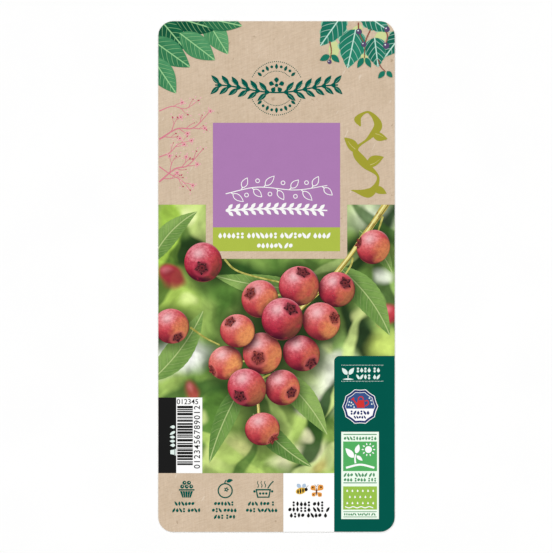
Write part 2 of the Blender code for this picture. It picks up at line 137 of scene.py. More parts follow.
# Picture leaves: base x, y, tip x, y, width, bow and how light the leaf is
PICTURE_LEAVES = [
    (35.0, 19.5, 49.0, 1.5, 8.0, 1.5, 0.75), (26.0, 4.0, 48.0, -25.0, 12.0, 2.5, 0.50),
    (13.0, -5.0, -26.5, 0.5, 9.5, 1.5, 0.70), (-13.0, -44.0, -28.5, -79.0, 9.0, -1.5, 0.35),
    (-1.0, -40.0, 21.5, -67.0, 11.0, 2.0, 0.75), (-53.0, -44.0, -31.0, -14.5, 11.5, -2.0, 0.65),
    (-10.0, -58.0, 15.0, -80.5, 9.0, -2.0, 0.30), (-53.0, 6.0, -33.5, 27.5, 9.0, 2.5, 0.60),
]
STEM_COURSE = [(48.0, 33.0), (37.0, 17.0), (25.0, 1.0), (12.0, -12.0), (0.0, -26.0), (-8.0, -42.0),
               (-7.5, -58.0)]
STALKS = {
    1: [(32.4, 8.0), (31.2, 4.2), (27.6, -1.2)], 2: [(11.0, -13.5), (3.0, -8.0), (-2.0, -8.5)],
    4: [(-7.0, -40.0), (-12.0, -36.0), (-18.0, -36.5)], 5: [(-8.0, -44.0), (-2.0, -41.5), (1.0, -45.0)],
    7: [(-22.0, 7.4), (-18.0, 3.2), (-11.0, 0.5), (4.0, -3.0)],
    8: [(-36.5, -21.5), (-30.0, -26.0), (-24.0, -29.0)], 9: [(45.0, 25.4), (43.9, 22.0), (42.6, 18.0)],
}

# Leaves of the corner sprays: base x, y, tip x, y, width and how light the leaf is
OVAL_LEAVES = [
    (-52.0, 112.0, -38.5, 96.0, 11.0, 0.15), (-30.5, 110.0, -20.5, 94.0, 9.5, 0.85),
    (-44.0, 110.0, -25.5, 104.5, 10.0, 0.05), (-41.0, 103.0, -26.0, 91.5, 10.0, 0.75),
    (-54.0, 101.0, -36.5, 88.5, 10.5, 0.55), (-33.0, 110.0, -14.5, 106.0, 8.5, 0.45),
    (-53.0, 93.0, -42.5, 77.5, 9.5, 0.70),
]
ROUND_LEAVES = [
    (28.0, 111.0, 18.5, 97.5, 11.5, 0.45), (36.0, 112.0, 48.0, 103.5, 10.0, 0.60),
    (33.5, 104.5, 30.0, 88.0, 13.0, 0.75), (41.5, 101.0, 43.0, 88.5, 10.5, 0.35),
    (54.0, 104.0, 46.0, 93.0, 9.0, 0.15),
]

# Soft shapes of the garden behind, farthest first, by kind: x, y, half length, half width, turn, softness,
# colour and share
GARDEN = [
    ("spot", [(-20, 6, 44, 26, 0, 1.0, (92, 132, 56), 0.8), (34, -6, 24, 34, 0, 1.0, (110, 146, 68), 0.8),
        (-30, -52, 34, 26, 0, 1.0, (126, 164, 74), 0.7), (6, -74, 40, 14, 0, 0.9, (146, 176, 86), 0.8),
        (-45, -4, 9, 20, 8, 0.8, (176, 206, 92), 0.9), (40, 25, 13, 8, 0, 0.8, (224, 234, 206), 0.9),
        (-41, -35, 14, 8, 16, 0.6, (254, 255, 250), 1.0), (-27, -75, 13, 8, 0, 0.8, (204, 220, 134), 0.9),
        (24, -42, 11, 15, -20, 0.7, (242, 246, 224), 1.0), (15, -56, 7, 5, 0, 0.7, (230, 206, 214), 0.9),
        (10, -76, 11, 6, 10, 0.6, (246, 244, 196), 1.0), (-16, -70, 7, 5, 0, 0.7, (228, 230, 150), 0.8)]),
    ("leaf", [(-26, 15, 30, 9, 24, 0.35, (26, 56, 22), 0.95),
        (-12, 0, 32, 7, -16, 0.35, (36, 72, 28), 0.95), (-45, 17, 24, 6, 82, 0.28, (168, 206, 80), 0.95),
        (-33, 23, 18, 4, -46, 0.3, (196, 216, 128), 0.8), (34, 8, 34, 7, 52, 0.35, (28, 58, 26), 0.95),
        (44, 20, 20, 4, -34, 0.3, (66, 102, 44), 0.85), (43, -14, 30, 7, 40, 0.3, (142, 176, 94), 0.9),
        (38, -26, 22, 6, 118, 0.4, (20, 46, 26), 0.95)]),
    ("spot", [(46, -30, 7, 6, 0, 0.6, (196, 216, 108), 0.9), (2, -24, 22, 22, 0, 0.6, (24, 46, 20), 0.95),
        (6, -8, 28, 11, 30, 0.7, (48, 74, 32), 0.6), (-8, -50, 14, 17, 0, 0.7, (50, 78, 34), 0.8)]),
    ("leaf", [(-26, -58, 34, 6, 62, 0.3, (82, 124, 50), 0.9),
        (-35, -50, 20, 5, 20, 0.4, (52, 88, 38), 0.85), (-20, -76, 26, 3, 150, 0.3, (180, 206, 108), 0.85),
        (2, -64, 34, 3, 112, 0.35, (186, 212, 118), 0.85), (18, -62, 30, 5, 66, 0.35, (36, 74, 28), 0.95),
        (21, -77, 20, 3, 28, 0.3, (206, 222, 146), 0.8), (-41, -66, 24, 4, 74, 0.4, (88, 128, 54), 0.8),
        (-47, -2, 20, 3, 66, 0.3, (58, 92, 36), 0.8), (30, -36, 26, 3, 72, 0.3, (206, 226, 140), 0.85),
        (47, -10, 18, 3, 104, 0.3, (44, 74, 36), 0.8), (-14, -80, 18, 3, 64, 0.3, (60, 100, 40), 0.8),
        (26, 6, 16, 3, 24, 0.3, (176, 200, 122), 0.7)]),
    ("spot", [(-37, 25, 3.4, 3.4, 0, 0.5, (232, 238, 178), 0.7),
        (46, -1, 3.6, 3.6, 0, 0.5, (238, 244, 224), 0.8), (36, -16, 2.6, 2.6, 0, 0.5, (220, 232, 150), 0.6),
        (-31, -62, 3.0, 3.0, 0, 0.5, (218, 230, 150), 0.6),
        (12, -68, 2.8, 2.8, 0, 0.5, (244, 242, 194), 0.7),
        (-39, -10, 3.2, 3.2, 0, 0.5, (222, 236, 156), 0.6),
        (22, -30, 3.0, 3.0, 0, 0.5, (214, 228, 150), 0.6),
        (17, -80, 4.0, 2.6, 40, 0.5, (190, 150, 62), 0.5),
        (-45, -1, 5.0, 5.4, 0, 0.30, (172, 48, 64), 0.95),
        (-46.5, 0.5, 2.4, 2.0, 30, 0.8, (224, 124, 134), 0.7),
        (47, -18, 5.2, 5.0, 0, 0.32, (182, 56, 68), 0.95),
        (45.6, -16, 2.6, 2.0, 30, 0.8, (232, 138, 142), 0.7),
        (-36, -50, 4.2, 4.4, 0, 0.45, (168, 62, 66), 0.85),
        (-37, -48.6, 2.0, 1.6, 30, 0.9, (222, 136, 132), 0.6)]),
]


def tint(red, green, blue):
    """A linear colour from screen values of 0 to 255."""
    screen = (v / 255 for v in (red, green, blue))
    return (*(((v + 0.055) / 1.055) ** 2.4 if v > 0.04 else v / 12.92 for v in screen), 1.0)


def blend(first, second, share):
    """A screen colour between two others."""
    return tuple(a + (b - a) * share for a, b in zip(first, second))


# Camera, light and floor

def place_camera():
    """A long lens straight above the label, framed as the photograph is."""
    data = bpy.data.cameras.new("camera")
    data.lens = LENS
    data.sensor_width = SENSOR
    camera = bpy.data.objects.new("camera", data)
    bpy.context.scene.collection.objects.link(camera)
    width_seen = 2 * CARD_HALF_LENGTH * MM * PHOTO_PIXELS / LABEL_PIXELS
    camera.location = (0.0, 0.0, CAD_HIGH.z + width_seen * LENS / SENSOR)
    data.clip_end = 20.0
    bpy.context.scene.camera = camera


def light_the_table():
    """Even studio light from four sides, so that the print shows its own colours."""
    scene = bpy.context.scene
    scene.view_settings.view_transform = "Standard"
    world = bpy.data.worlds.new("studio")
    scene.world = world
    world.use_nodes = True
    nodes, links = world.node_tree.nodes, world.node_tree.links
    room = nodes["Background"]
    room.inputs["Color"].default_value = (1.0, 1.0, 1.0, 1.0)
    room.inputs["Strength"].default_value = ROOM_STRENGTH
    backdrop = nodes.new("ShaderNodeBackground")
    backdrop.inputs["Color"].default_value = BACKDROP
    seen = nodes.new("ShaderNodeLightPath")
    chosen = nodes.new("ShaderNodeMixShader")
    for place, output in enumerate((seen.outputs["Is Camera Ray"], room.outputs[0], backdrop.outputs[0])):
        links.new(output, chosen.inputs[place])
    links.new(chosen.outputs[0], nodes["World Output"].inputs["Surface"])
    for azimuth, elevation, strength in SOFTBOXES:
        data = bpy.data.lights.new(f"softbox_{azimuth}", "SUN")
        data.energy = strength
        data.angle = radians(SOFTBOX_SPREAD)
        lamp = bpy.data.objects.new(data.name, data)
        scene.collection.objects.link(lamp)
        lamp.rotation_euler = (0.0, radians(90 - elevation), radians(azimuth))


def lay_floor():
    """A plain pale table top."""
    bpy.ops.mesh.primitive_plane_add(size=FLOOR_SIZE, location=(0.0, 0.0, 0.0))
    floor = bpy.context.active_object
    floor.name = "floor"
    recipe = Recipe("floor_white", 0.8, 0.05)
    recipe.feed("Base Color", recipe.mix(recipe.point().noise(30.0), *FLOOR_SHADES))
    floor.data.materials.append(recipe.material)


# Writing materials

class Value:
    """A node's output in a recipe, with arithmetic and shapes that add nodes."""

    def __init__(self, recipe, socket):
        self.recipe = recipe
        self.socket = socket

    def maths(self, operation, *others):
        """A Math node of this value and others."""
        return self.recipe.node("ShaderNodeMath", {"operation": operation}, [self, *others])

    __add__ = __radd__ = partialmethod(maths, "ADD")
    __sub__ = partialmethod(maths, "SUBTRACT")
    __mul__ = __rmul__ = partialmethod(maths, "MULTIPLY")
    __truediv__ = partialmethod(maths, "DIVIDE")
    __pow__ = partialmethod(maths, "POWER")
    __abs__ = partialmethod(maths, "ABSOLUTE")

    def __rsub__(self, other):
        return self.recipe.node("ShaderNodeMath", {"operation": "SUBTRACT"}, [other, self])

    def smooth(self, low, high, top=1.0):
        """An eased step from 0 at low to top at high, either way round."""
        eased = {"interpolation_type": "SMOOTHSTEP"}
        return self.recipe.node("ShaderNodeMapRange", eased, [self, low, high, 0.0, top])

    def noise(self, scale, detail=3.0, roughness=0.5, output=0):
        """Cloudy noise of about 0.3 to 0.7, with scale features to the metre."""
        inputs = {"Vector": self, "Scale": scale, "Detail": detail, "Roughness": roughness}
        return self.recipe.node("ShaderNodeTexNoise", None, inputs, output)

    def local(self, x, y, size, turn=0.0):
        """The place seen from (x, y), turned by an angle and divided by a size or two, in millimetres."""
        along, across = size if isinstance(size, tuple) else (size, size)
        inputs = {"Vector": self, "Location": (x * MM, y * MM, 0.0), "Rotation": (0.0, 0.0, turn),
                  "Scale": (along * MM, across * MM, 1.0)}
        return self.recipe.node("ShaderNodeMapping", {"vector_type": "TEXTURE"}, inputs)

    def parts(self):
        """A vector's x and y."""
        split = self.recipe.node("ShaderNodeSeparateXYZ", None, [self])
        return split, Value(self.recipe, split.socket.node.outputs[1])

    def length(self):
        """A vector's length."""
        return self.recipe.node("ShaderNodeVectorMath", {"operation": "LENGTH"}, [self], "Value")


class Recipe:
    """A material being written round one Principled shader."""

    def __init__(self, name, roughness, specular=0.06):
        self.material = bpy.data.materials.new(name)
        self.material.use_nodes = True
        self.tree = self.material.node_tree
        self.shader = self.tree.nodes["Principled BSDF"]
        self.shader.inputs["Roughness"].default_value = roughness
        self.shader.inputs["Specular IOR Level"].default_value = specular

    def node(self, kind, settings=None, inputs=(), output=0):
        """Adds a node: its settings first, then its inputs, in order or by name."""
        made = self.tree.nodes.new(kind)
        for name, value in (settings or {}).items():
            setattr(made, name, value)
        pairs = inputs.items() if isinstance(inputs, dict) else enumerate(inputs)
        for key, value in pairs:
            if isinstance(value, Value):
                self.tree.links.new(value.socket, made.inputs[key])
            else:
                made.inputs[key].default_value = value
        return Value(self, made.outputs[output])

    def feed(self, name, value):
        """Links a value to one of the shader's inputs."""
        self.tree.links.new(value.socket, self.shader.inputs[name])

    def point(self):
        """The place on the label, in metres."""
        return self.node("ShaderNodeTexCoord", output="Object")

    def mix(self, share, first, second, blend_type="MIX"):
        """One colour over another by a share of 0 to 1. Three numbers are a screen colour."""
        first, second = (tint(*c) if isinstance(c, tuple) and len(c) == 3 else c for c in (first, second))
        settings = {"data_type": "RGBA", "blend_type": blend_type, "clamp_factor": True}
        return self.node("ShaderNodeMix", settings, {0: share, 6: first, 7: second}, 2)

    def washes(self, colour, *layers):
        """A colour under others, each with its share."""
        for share, over in layers:
            colour = self.mix(share, colour, over)
        return colour

    def shade(self, colour, amount):
        """A colour times a number."""
        return self.mix(1.0, colour, amount, "MULTIPLY")

    def relief(self, height, strength, depth):
        """Raises the surface by a height, over a depth in millimetres."""
        inputs = {"Strength": strength, "Distance": depth * MM, "Height": height}
        self.feed("Normal", self.node("ShaderNodeBump", None, inputs))

    def printed(self, colour, roughness=0.48, tooth=0.12):
        """Ends a printed surface: a trace of paper grain in its colour, gloss and relief."""
        point = self.point()
        grain = point.noise(2600.0, 2.0)
        cloud = point.noise(160.0)
        self.feed("Base Color", self.shade(colour, 0.92 + grain * 0.09 + cloud * 0.05))
        self.feed("Roughness", roughness - 0.05 + cloud * 0.1)
        self.relief(grain, tooth, 0.02)
        return self.material


# Flat outlines, in millimetres

def shape(*points):
    """An outline through points."""
    return [Vector(p) for p in points]


def heading(degrees):
    """A step of one millimetre in a direction."""
    return Vector((cos(radians(degrees)), sin(radians(degrees))))


def circle(x, y, radius, steps=32, flat=1.0, turn=0.0):
    """A circle, or an ellipse flattened and turned."""
    points = []
    for step in range(steps):
        angle = 2 * pi * step / steps
        along, across = radius * cos(angle), radius * flat * sin(angle)
        points.append(Vector((x + along * cos(turn) - across * sin(turn),
                              y + along * sin(turn) + across * cos(turn))))
    return points


def ring(x, y, radius, width, steps=32):
    """A circle's line, as its outer and inner edges."""
    return [circle(x, y, radius + width / 2, steps), circle(x, y, radius - width / 2, steps)]


def box(left, right, bottom, top):
    """A rectangle."""
    return shape((left, bottom), (right, bottom), (right, top), (left, top))


def leaf(base, tip, width, widest=0.42, bow=0.0, steps=16, sharpness=0.9, lobes=0, lobe_depth=0.0):
    """A pointed leaf with its midrib bowed sideways, and a scalloped edge if asked."""
    base, tip = Vector(base), Vector(tip)
    axis = tip - base
    side = axis.orthogonal().normalized()
    power = log(0.5) / log(widest)
    left, right = [], []
    for step in range(steps + 1):
        share = step / steps
        rib = base + axis * share + side * (4 * bow * share * (1 - share))
        half = width / 2 * max(0.0, sin(pi * share ** power)) ** sharpness
        half *= 1 - lobe_depth * abs(cos(pi * lobes * share)) ** 3
        left.append(rib + side * half)
        right.append(rib - side * half)
    return left + right[-2:0:-1]


def leaves(*rows, **look):
    """Leaves as rows of base x, y, tip x, y, width and where they are widest and bowed, if they say so."""
    return [leaf(row[:2], row[2:4], *row[4:], **look) for row in rows]


def drop(x, start, end, width, widest=0.68, steps=10):
    """An upright mark between two heights, broadest towards its end unless told otherwise."""
    return leaf((x, start), (x + 0.02, end), width, widest, steps=steps)


def course(points, steps):
    """A smooth open path through points, as a Catmull-Rom curve with steps samples a span."""
    points = [Vector(p) for p in points]
    ends = [2 * points[0] - points[1]] + points + [2 * points[-1] - points[-2]]
    path = []
    for a, b, c, d in zip(ends, ends[1:], ends[2:], ends[3:]):
        for step in range(steps):
            t = step / steps
            path.append(0.5 * (2 * b + (c - a) * t + (2 * a - 5 * b + 4 * c - d) * t * t
                               + (3 * b - a - 3 * c + d) * t ** 3))
    return path + [points[-1]]


def stroke(path, width, taper=0.0, swell=None):
    """A line of a given width along a path, thinning by taper towards its end, or swelling as asked."""
    last = len(path) - 1
    left, right = [], []
    for index, spot in enumerate(path):
        tangent = (path[min(index + 1, last)] - path[max(index - 1, 0)]).normalized()
        half = width / 2 * (1 - taper * index / last) * (swell(index / last) if swell else 1.0)
        normal = Vector((-tangent.y, tangent.x)) * half
        left.append(spot + normal)
        right.append(spot - normal)
    return left + right[::-1]


def line(points, width, taper=0.0, steps=6):
    """A smooth stroke through points."""
    return stroke(course(points, steps), width, taper)


def branching(spine, thickness, taper, shoots):
    """A stem as one closed loop, with a shoot's own loop wherever shoots has one for (place, side)."""
    last = len(spine) - 1
    loop = []
    for side, order in ((1, range(last + 1)), (-1, range(last, -1, -1))):
        for index in order:
            tangent = (spine[min(index + 1, last)] - spine[max(index - 1, 0)]).normalized()
            normal = Vector((-tangent.y, tangent.x)) * side
            edge = spine[index] + normal * thickness / 2 * (1 - taper * index / last)
            if (index, side) in shoots:
                loop += shoots[index, side](edge, tangent, normal)
            else:
                loop.append(edge)
    return loop


def leaf_shoot(length, width, angle, steps=12):
    """A leaf on a short stalk, for branching()."""
    def grow(edge, tangent, normal):
        way = tangent * cos(radians(angle)) + normal * sin(radians(angle))
        return leaf(edge + way * 0.08 * length, edge + way * length, width, steps=steps)[1:]
    return grow


def twig_shoot(length, width, angle, bend, tips):
    """A bare side twig that bends along its way, with two smaller ones of its own, for branching()."""
    def grow(edge, tangent, normal):
        turn = radians(angle)
        way = tangent * cos(turn) + normal * sin(turn)
        spot, spine = edge.copy(), []
        for step in range(7):
            spine.append(spot.copy())
            spot += way * length / 6
            way.rotate(Matrix.Rotation(radians(bend / 6), 2))
        tips.append(spine[-1])
        shoots = {}
        if length > 4.0:
            shoots = {(3, 1): twig_shoot(length * 0.45, width * 0.7, 44, -20, tips),
                      (5, -1): twig_shoot(length * 0.35, width * 0.7, 40, 24, tips)}
        return branching(spine, width, 0.6, shoots)
    return grow


def clip(outline, window):
    """The part of an outline inside a convex window whose points run anticlockwise."""
    for start, end in zip(window, window[1:] + window[:1]):
        kept = []
        for here, ahead in zip(outline, outline[1:] + outline[:1]):
            depth, next_depth = (end - start).cross(here - start), (end - start).cross(ahead - start)
            if depth >= 0:
                kept.append(here)
            if (depth >= 0) != (next_depth >= 0):
                kept.append(here.lerp(ahead, depth / (depth - next_depth)))
        outline = kept
    return outline


def turned(outlines, x, y, degrees):
    """Outlines turned about a point."""
    turn = Matrix.Rotation(radians(degrees), 2)
    pivot = Vector((x, y))
    return [[pivot + turn @ (p - pivot) for p in outline] for outline in outlines]


def moved(outlines, x, y):
    """Outlines shifted by (x, y)."""
    return [[p + Vector((x, y)) for p in outline] for outline in outlines]


def star_of_leaves(centre, count, turn, inner, outer, width, widest=0.6):
    """Petals round a centre."""
    return [leaf(centre + way * inner, centre + way * outer, width, widest, steps=10)
            for way in (heading(turn + 360 * number / count) for number in range(count))]


def card_window():
    """The label's outline, anticlockwise, with its four round corners."""
    window = []
    reach_x, reach_y = CARD_HALF_WIDTH - CORNER_RADIUS, CARD_HALF_LENGTH - CORNER_RADIUS
    for quarter, (x, y) in enumerate(((1, -1), (1, 1), (-1, 1), (-1, -1))):
        for step in range(CORNER_STEPS + 1):
            window.append(Vector((x * reach_x, y * reach_y))
                          + heading(90 * (quarter - 1 + step / CORNER_STEPS)) * CORNER_RADIUS)
    return window


CARD = card_window()
PICTURE = box(-CARD_HALF_WIDTH, CARD_HALF_WIDTH, PICTURE_BOTTOM, HEADER_BOTTOM - 0.02)


def mark_row(left, right, bottom, top, seed, groups=True):
    """A border of small leaves, seeds and dots between two heights, gathered in groups."""
    dice = random.Random(seed)
    height = top - bottom
    middle = (bottom + top) / 2
    wide, gap, group_gap = (share * height for share in (0.62, 0.13, 0.36))
    marks, x, run = [], left, dice.randint(3, 6)
    while x + wide <= right + 0.01:
        centre = x + wide / 2
        kind = dice.choice("leaf back seed pair tall drop drop".split())
        if kind in ("leaf", "back"):
            start, end = (x, x + wide) if kind == "leaf" else (x + wide, x)
            marks.append(leaf((start, bottom), (end, top), 0.78 * wide, steps=8, sharpness=0.7))
        elif kind == "seed":
            marks.append(circle(centre, middle, wide * 0.6, 12, 0.84, 0.9))
        elif kind == "pair":
            marks += [circle(centre, middle + s * height * 0.27, height * 0.235, 10) for s in (1, -1)]
        elif kind == "tall":
            marks.append(drop(centre, bottom, top, 0.84 * wide, 0.5, 8))
        else:
            marks.append(drop(centre, top, bottom, wide, 0.62, 8))
        run -= 1
        x += wide + gap
        if run == 0 and groups:
            x += group_gap
            run = dice.randint(3, 7)
    return marks


def mark_rows(*rows):
    """Several rows of marks as one list of outlines."""
    return [mark for row in rows for mark in mark_row(*row)]


# Laying films

def lay(name, outlines, ink, base, film=DETAIL_FILM, stands_for=()):
    """A printed film: a filled flat curve, made a mesh, with its underside at a height in millimetres."""
    curve = bpy.data.curves.new(name, "CURVE")
    curve.dimensions = "2D"
    curve.fill_mode = "BOTH"
    curve.extrude = film / 2 * MM
    for outline in outlines:
        pairs = zip(outline, outline[-1:] + outline[:-1])
        points = [p for p, before in pairs if (p - before).length > CLOSEST_POINTS]
        spline = curve.splines.new("POLY")
        spline.points.add(len(points) - 1)
        for spot, point in zip(spline.points, points):
            spot.co = (point.x * MM, point.y * MM, 0.0, 1.0)
        spline.use_cyclic_u = True
    settle(bpy.data.objects.new(name, curve), (0.0, 0.0, base + film / 2), 0.0, ink, stands_for)


def settle(piece, place, turn, ink, stands_for=()):
    """Makes a flat curve or text a closed mesh in its place. Its ink is a name, or a material and a slot; the
    slot is not used.
    """
    bpy.context.scene.collection.objects.link(piece)
    bpy.ops.object.select_all(action="DESELECT")
    piece.select_set(True)
    bpy.context.view_layer.objects.active = piece
    bpy.ops.object.convert(target="MESH")
    piece = bpy.context.active_object
    bpy.ops.object.mode_set(mode="EDIT")
    bpy.ops.mesh.select_all(action="SELECT")
    bpy.ops.mesh.remove_doubles(threshold=SEAM * MM)
    bpy.ops.mesh.normals_make_consistent(inside=False)
    bpy.ops.object.mode_set(mode="OBJECT")
    piece.location = [c * MM for c in place]
    piece.rotation_euler.z = radians(turn)
    bpy.ops.object.transform_apply(location=True, rotation=True, scale=True)
    material, slot = (flat_ink(ink), INKS[ink][0]) if isinstance(ink, str) else ink
    piece.data.materials.clear()
    piece.data.materials.append(material)
    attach(piece, "root")
    for node in stands_for:
        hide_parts(node)


def print_again(node, outlines, ink):
    """A finer print in the place of a solid's film."""
    low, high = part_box(node)
    lay(f"{node}_print", outlines, ink, low.z / MM, (high.z - low.z) / MM, [node])


def print_over(node, *details, at=(0.0, 0.0)):
    """Details printed on a film, under the next level: name, outlines, ink and its tier if not 0."""
    for name, outlines, ink, *tier in details:
        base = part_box(node)[1].z / MM + DETAIL_GAP + sum(tier) * DETAIL_PITCH
        lay(name, moved(outlines, *at), ink, base)


# Finishes

made_inks = {}


def flat_ink(name):
    """A solid printed ink, made when it is first asked for."""
    if name not in made_inks:
        _, red, green, blue, *gloss = INKS[name]
        roughness, specular = gloss or USUAL_GLOSS
        made_inks[name] = Recipe(name, roughness, specular).printed((red, green, blue), roughness)
    return made_inks[name]


def kraft_ink(name, seed):
    """Brown kraft paper: clouded, with short fibres both ways, darker flecks and a few pale ones."""
    recipe = Recipe(name, 0.62, 0.08)
    point = recipe.point().local(seed, -seed, 1000.0)
    along = point.local(0.0, 0.0, (9.0, 1.0), 0.35).noise(1.9, 4.0, 0.6)
    across = point.local(30.0, 10.0, (1.0, 14.0), 0.04).noise(1.5, 4.0, 0.6)
    dust = point.noise(1500.0, 2.0)
    soot = point.noise(640.0, 3.0, 0.6)
    fleck = point.noise(420.0, 2.0).smooth(0.70, 0.76)
    pale = point.local(7.0, 3.0, (4.0, 1.0), 1.1).noise(0.55, 2.0).smooth(0.68, 0.74)
    fibre = along.smooth(0.42, 0.62) * 0.5 + across.smooth(0.42, 0.60) * 0.35
    colour = recipe.washes(
        (198, 177, 151), (point.noise(70.0, 4.0), (220, 199, 176)), (fibre * 0.5, (186, 162, 135)),
        (pale * 0.4, (232, 218, 200)), (fleck * 0.4, (140, 114, 86)))
    recipe.feed("Base Color", recipe.shade(colour, 0.84 + dust * 0.16 + soot * 0.16))
    recipe.feed("Roughness", 0.55 + fibre * 0.15)
    recipe.relief(fibre + dust, 0.2, 0.03)
    return recipe.material


def board_ink():
    """White board whose cut edge shows its thin plies."""
    recipe = Recipe("white_board", 0.65, 0.1)
    stretched = recipe.node("ShaderNodeMapping", {"vector_type": "POINT"}, {
        "Vector": recipe.point(), "Scale": (300.0, 300.0, 14000.0)})
    return recipe.printed(recipe.mix(stretched.noise(1.0, 2.0), (226, 224, 216), (250, 249, 246)), 0.65, 0.2)


def streaked_ink(streak, low, high, dark, light, knots=None):
    """Bark or stalk skin: streaks of two colours, with brown knots if there are any."""
    recipe = streak.recipe
    colour = recipe.mix(streak.smooth(low, high), dark, light)
    if knots:
        colour = recipe.mix(knots * 0.6, colour, (124, 84, 46))
    return recipe.printed(colour)


def open_light(point, discs, reach):
    """1 in the open, falling towards 0 close to and under the discs that lie above."""
    light = None
    for x, y, radius in discs:
        clear = point.local(x + 0.4, y - 0.9, radius).length().smooth(0.86, 1.0 + reach / radius)
        light = clear if light is None else light * clear
    return light


def berry_ink(name, number, above):
    """A blueberry as seen, on a flat disc: a rosy ball with a bloom, a golden side and a crown."""
    x, y, radius, crown_x, crown_y, gold, ripe = BERRIES[number]
    recipe = Recipe(name, 0.45)
    point = recipe.point()
    u, v = point.local(x, y, radius).parts()
    dome = (1.0 - u * u - v * v).maths("MAXIMUM", 0.0) ** 0.5
    lit, shine, side = (u * way.x + v * way.y + dome * way.z for way in (SUN, GLOSS, GOLD_SIDE))
    ball = recipe.node("ShaderNodeCombineXYZ", None, [u + x * 0.7, v + y * 0.7, dome])
    patch = ball.noise(1.6)
    mottle = ball.noise(6.0, 5.0, 0.65)
    speck = ball.noise(19.0, 2.0).smooth(0.61, 0.70)
    shadow = blend((138, 48, 50), (66, 14, 34), ripe)
    body = blend((212, 86, 80), (180, 40, 64), ripe)
    light = blend((240, 146, 124), (218, 82, 102), ripe)
    edge = dome.smooth(0.52, 0.05)
    reach = hypot(crown_x, crown_y)
    view = (radius * 0.44 * sqrt(1 - reach * reach), radius * 0.44)
    crown = point.local(x + crown_x * radius, y + crown_y * radius, view, atan2(crown_y, crown_x)).length()
    colour = recipe.washes(
        shadow,
        ((lit + patch * 0.25).smooth(-0.08, 0.84), body),
        ((lit + patch * 0.4).smooth(0.62, 1.16), light),
        ((side + patch * 0.6).smooth(0.78, 1.28) * gold, (240, 160, 96)),
        (patch.smooth(0.52, 0.66) * 0.45, body),
        ((lit + mottle * 0.55).smooth(1.00, 1.34) * 0.52, (240, 172, 180)),
        (speck * lit.smooth(0.2, 0.9) * 0.3, (250, 206, 190)),
        (mottle.smooth(0.60, 0.36) * 0.28, shadow),
        (edge * lit.smooth(0.80, 0.1) * 0.85, (56, 12, 28)),
        (dome.smooth(0.34, 0.04) * v.smooth(-0.30, -0.9) * 0.42, (206, 126, 96)),
        (edge * v.smooth(0.15, 0.9) * 0.40, (246, 196, 202)),
        ((shine.maths("MAXIMUM", 0.0) ** 30.0) * 0.42, (255, 228, 228)),
        (crown.smooth(1.30, 0.85) * 0.35, light),
        (crown.smooth(1.06, 0.42) * 0.84, (72, 14, 30)),
        (crown.smooth(0.40, 0.18) * 0.5, (118, 50, 46)),
        (crown.smooth(0.18, 0.05) * 0.85, (34, 8, 18)))
    if above:
        colour = recipe.mix((1.0 - open_light(point, above, 3.4)) * 0.92, colour, (44, 10, 24))
    return recipe.printed(colour, 0.44)


def crown_ink(name, dark):
    """The dry crown of a berry, dark with paler torn edges."""
    recipe = Recipe(name, 0.6)
    fray = recipe.point().noise(1500.0, 4.0, 0.7).smooth(0.40, 0.62)
    deep, pale = blend((76, 20, 28), (30, 8, 18), dark), blend((168, 78, 66), (122, 54, 60), dark)
    return recipe.printed(recipe.mix(fray, deep, pale), 0.6)


def leaf_ink(name, place, bow, dark, light, vein, widest=0.42, above=(), rim=None, veins=9.0, bold=0.46):
    """A leaf's surface: two halves lit apart, a pale midrib, side veins and soft mottling."""
    recipe = Recipe(name, 0.5)
    point = recipe.point()
    x, y, tip_x, tip_y, width = place
    axis = Vector((tip_x, tip_y)) - Vector((x, y))
    reach = axis.length
    side = axis.orthogonal()
    handed = 1.0 if axis.x * side.y - axis.y * side.x > 0 else -1.0
    along, across = point.local(x, y, reach, atan2(axis.y, axis.x)).parts()
    run = along.maths("MAXIMUM", 0.0).maths("MINIMUM", 1.0)
    drift = across * handed - run * (1.0 - run) * (4 * bow / reach)
    lateral = abs(drift)
    power = log(0.5) / log(widest)
    half = ((run ** power) * pi).maths("SINE").maths("MAXIMUM", 0.02) ** 0.9
    out = lateral / (half * (width / 2 / reach))

    cloud = point.noise(190.0, 4.0, 0.6)
    fine = point.noise(1100.0)
    tone = (drift * reach).smooth(-0.25 * width, 0.25 * width) * 0.42 + cloud * 0.75 + run * 0.14 - 0.16
    wave = ((run - lateral * 0.75 - lateral * out * 0.45 + cloud * 0.03) * veins).maths("FRACT")
    gap = abs(wave - 0.5)
    aside = gap * (reach / veins)
    middle = lateral * reach
    colour = recipe.washes(
        dark,
        (tone, light),
        (out.smooth(0.70, 1.0) * 0.25, light),
        (gap.smooth(0.28, 0.5) * 0.20, light),
        (aside.smooth(0.85, 0.2) * 0.24, dark),
        (aside.smooth(0.30, 0.08) * out.smooth(1.0, 0.7) * bold, vein),
        (middle.smooth(0.85, 0.2) * 0.3, dark),
        (middle.smooth(0.36, 0.12) * (0.4 + bold), vein))
    if rim:
        colour = recipe.mix(out.smooth(0.86, 0.92) * 0.9, colour, rim)
    colour = recipe.shade(colour, 0.86 + fine * 0.24)
    if above:
        colour = recipe.mix((1.0 - open_light(point, above, 4.5)) * 0.62, colour, (22, 44, 18))
    return recipe.printed(colour, 0.5)


